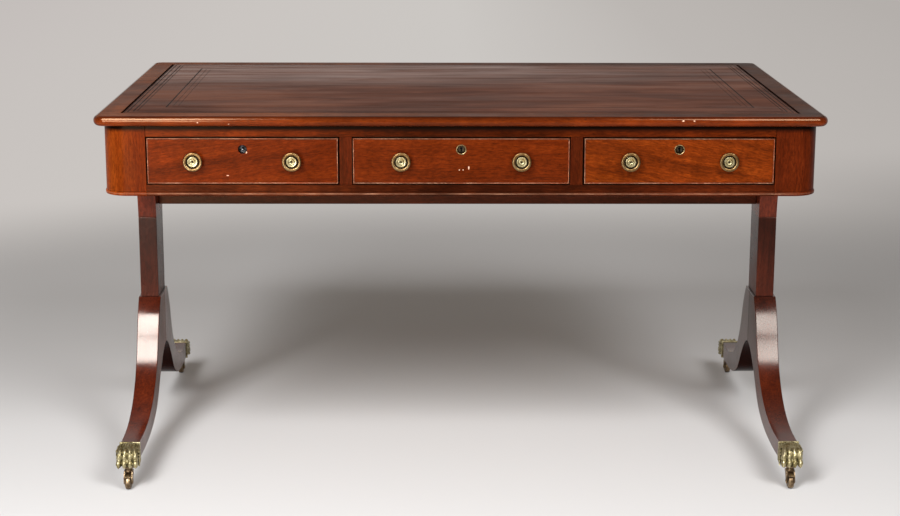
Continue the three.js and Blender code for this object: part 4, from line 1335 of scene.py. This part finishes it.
def floor():
    """A pale floor that keeps the shadow near the desk and fades into the backdrop's grey. In front
    of the desk only the camera sees it fade, past a painted pool of lamp light near the desk. A painted
    shade darkens it towards the far right, and in reflections its glow is dimmed towards the front."""
    s = Shader(bpy.data.materials.new("floor"))
    place = s.place()
    x, y, _ = s.split(place)
    away = s.length(place)
    path = s.node("LightPath", {}).outputs
    seen = s.calc("MAXIMUM", path["Is Camera Ray"], path["Is Glossy Ray"])
    seen = s.calc("MAXIMUM", seen, path["Is Transmission Ray"])
    in_front = s.times(y, -1.0)
    front_share = s.times(s.eased(s.span(in_front, FRONT_NEAR, FRONT_FAR)), path["Is Camera Ray"])
    share = s.times(s.eased(s.span(away, FLOOR_NEAR, FLOOR_FAR)), seen)
    share = s.calc("MAXIMUM", share, front_share)

    # Painted shade towards the far right
    from_painted_shade = s.node("VectorMath", {0: place, 1: PAINTED_SHADE_CORNER}, operation="DISTANCE").outputs["Value"]
    painted_shade = s.ramp(s.over(from_painted_shade, PAINTED_SHADE_REACH), ((0.0, 0.55), (1.0, 1.0)), "EASE")
    matt = s.node("BsdfDiffuse", {"Color": s.mix(1.0, painted_shade, PAPER, "MULTIPLY")})
    across = s.span(x, -BACKDROP_HALF_WIDTH, BACKDROP_HALF_WIDTH)
    tone = s.tinted(painted_shade, across, BACKDROP_TONES)
    # Painted pool of lamp light in front of the desk
    lit = s.ramp(s.over(away, LIT_RADIUS), ((0.25, 1.0), (1.0, 0.0)), "EASE")
    tone = s.mix(s.times(lit, front_share), tone, LIT_TONE)
    tone = s.mix(s.eased(s.span(away, HORIZON_NEAR, HORIZON_FAR)), tone, BACKDROP)
    ahead = s.calc("SUBTRACT", 1.0, y, clamp=True)
    strength = s.between(s.times(path["Is Glossy Ray"], ahead), 1.0, DIM_SHARE)
    glow = s.node("Emission", {"Color": tone, "Strength": strength})
    material = s.output("Material", s.node("MixShader", {0: share, 1: matt.outputs[0], 2: glow.outputs[0]}))

    circle = arc((0, 0), (FLOOR_RADIUS, FLOOR_RADIUS), 0, 360, 96)[:-1]
    mesh = loft("floor", [[(x, y, z) for x, y in circle] for z in (-FLOOR_THICKNESS, 0.0)])
    mesh.materials.append(material)
    new_object("floor", mesh)


def world():
    """Soft grey surroundings. The camera and the reflections of what lies behind the desk get the
    backdrop's grey."""
    scene.world = bpy.data.worlds.new("surroundings")
    s = Shader(scene.world)
    path = s.node("LightPath", {}).outputs
    behind = s.split(s.node("TexCoord", {}).outputs["Generated"])[1]
    reflected = s.calc("MULTIPLY", behind, path["Is Glossy Ray"], clamp=True)
    seen = s.calc("MAXIMUM", reflected, path["Is Camera Ray"])
    soft = s.node("Background", {"Color": SURROUNDINGS, "Strength": AMBIENT})
    shown = s.node("Background", {"Color": BACKDROP})
    s.output("World", s.node("MixShader", {0: seen, 1: soft.outputs[0], 2: shown.outputs[0]}))


def softbox(name, place, size, power):
    """A large lamp that faces the desk."""
    data = bpy.data.lights.new(name, "AREA")
    data.shape = "RECTANGLE"
    data.size, data.size_y = size
    data.energy = power
    lamp = new_object(name, data)
    lamp.location = place
    lamp.rotation_mode = "QUATERNION"
    lamp.rotation_quaternion = (LAMP_AIM - Vector(place)).to_track_quat("-Z", "Y")


floor()
world()
softbox("softbox_left", (-1.5, -3.1, 2.88), (1.1, 1.75), 152)
softbox("softbox_right", (1.75, -3.1, 3.0), (1.5, 1.8), 112)
softbox("low_strip", (-1.2, -3.1, 0.75), (0.6, 1.3), 36)


# Camera, at the photograph's place, its angles in radians

CAMERA_PLACE = Vector((-0.0621, -4.0077, 1.2917))
CAMERA_PITCH = 0.22429
CAMERA_YAW = 0.0114
CAMERA_ROLL = 0.00253
CAMERA_LENS = 76.0
SENSOR_WIDTH = 36.0


def camera():
    """Camera pitched down, turned to the right and rolled about its line of sight."""
    data = bpy.data.cameras.new("camera")
    data.sensor_width = SENSOR_WIDTH
    data.lens = CAMERA_LENS
    heading = Matrix.Rotation(-CAMERA_YAW, 4, "Z")
    pitch = Matrix.Rotation(math.pi / 2 - CAMERA_PITCH, 4, "X")
    roll = Matrix.Rotation(CAMERA_ROLL, 4, "Z")
    scene.camera = new_object("camera", data)
    scene.camera.matrix_world = Matrix.Translation(CAMERA_PLACE) @ heading @ pitch @ roll


camera()
scene.view_settings.view_transform = "Standard"
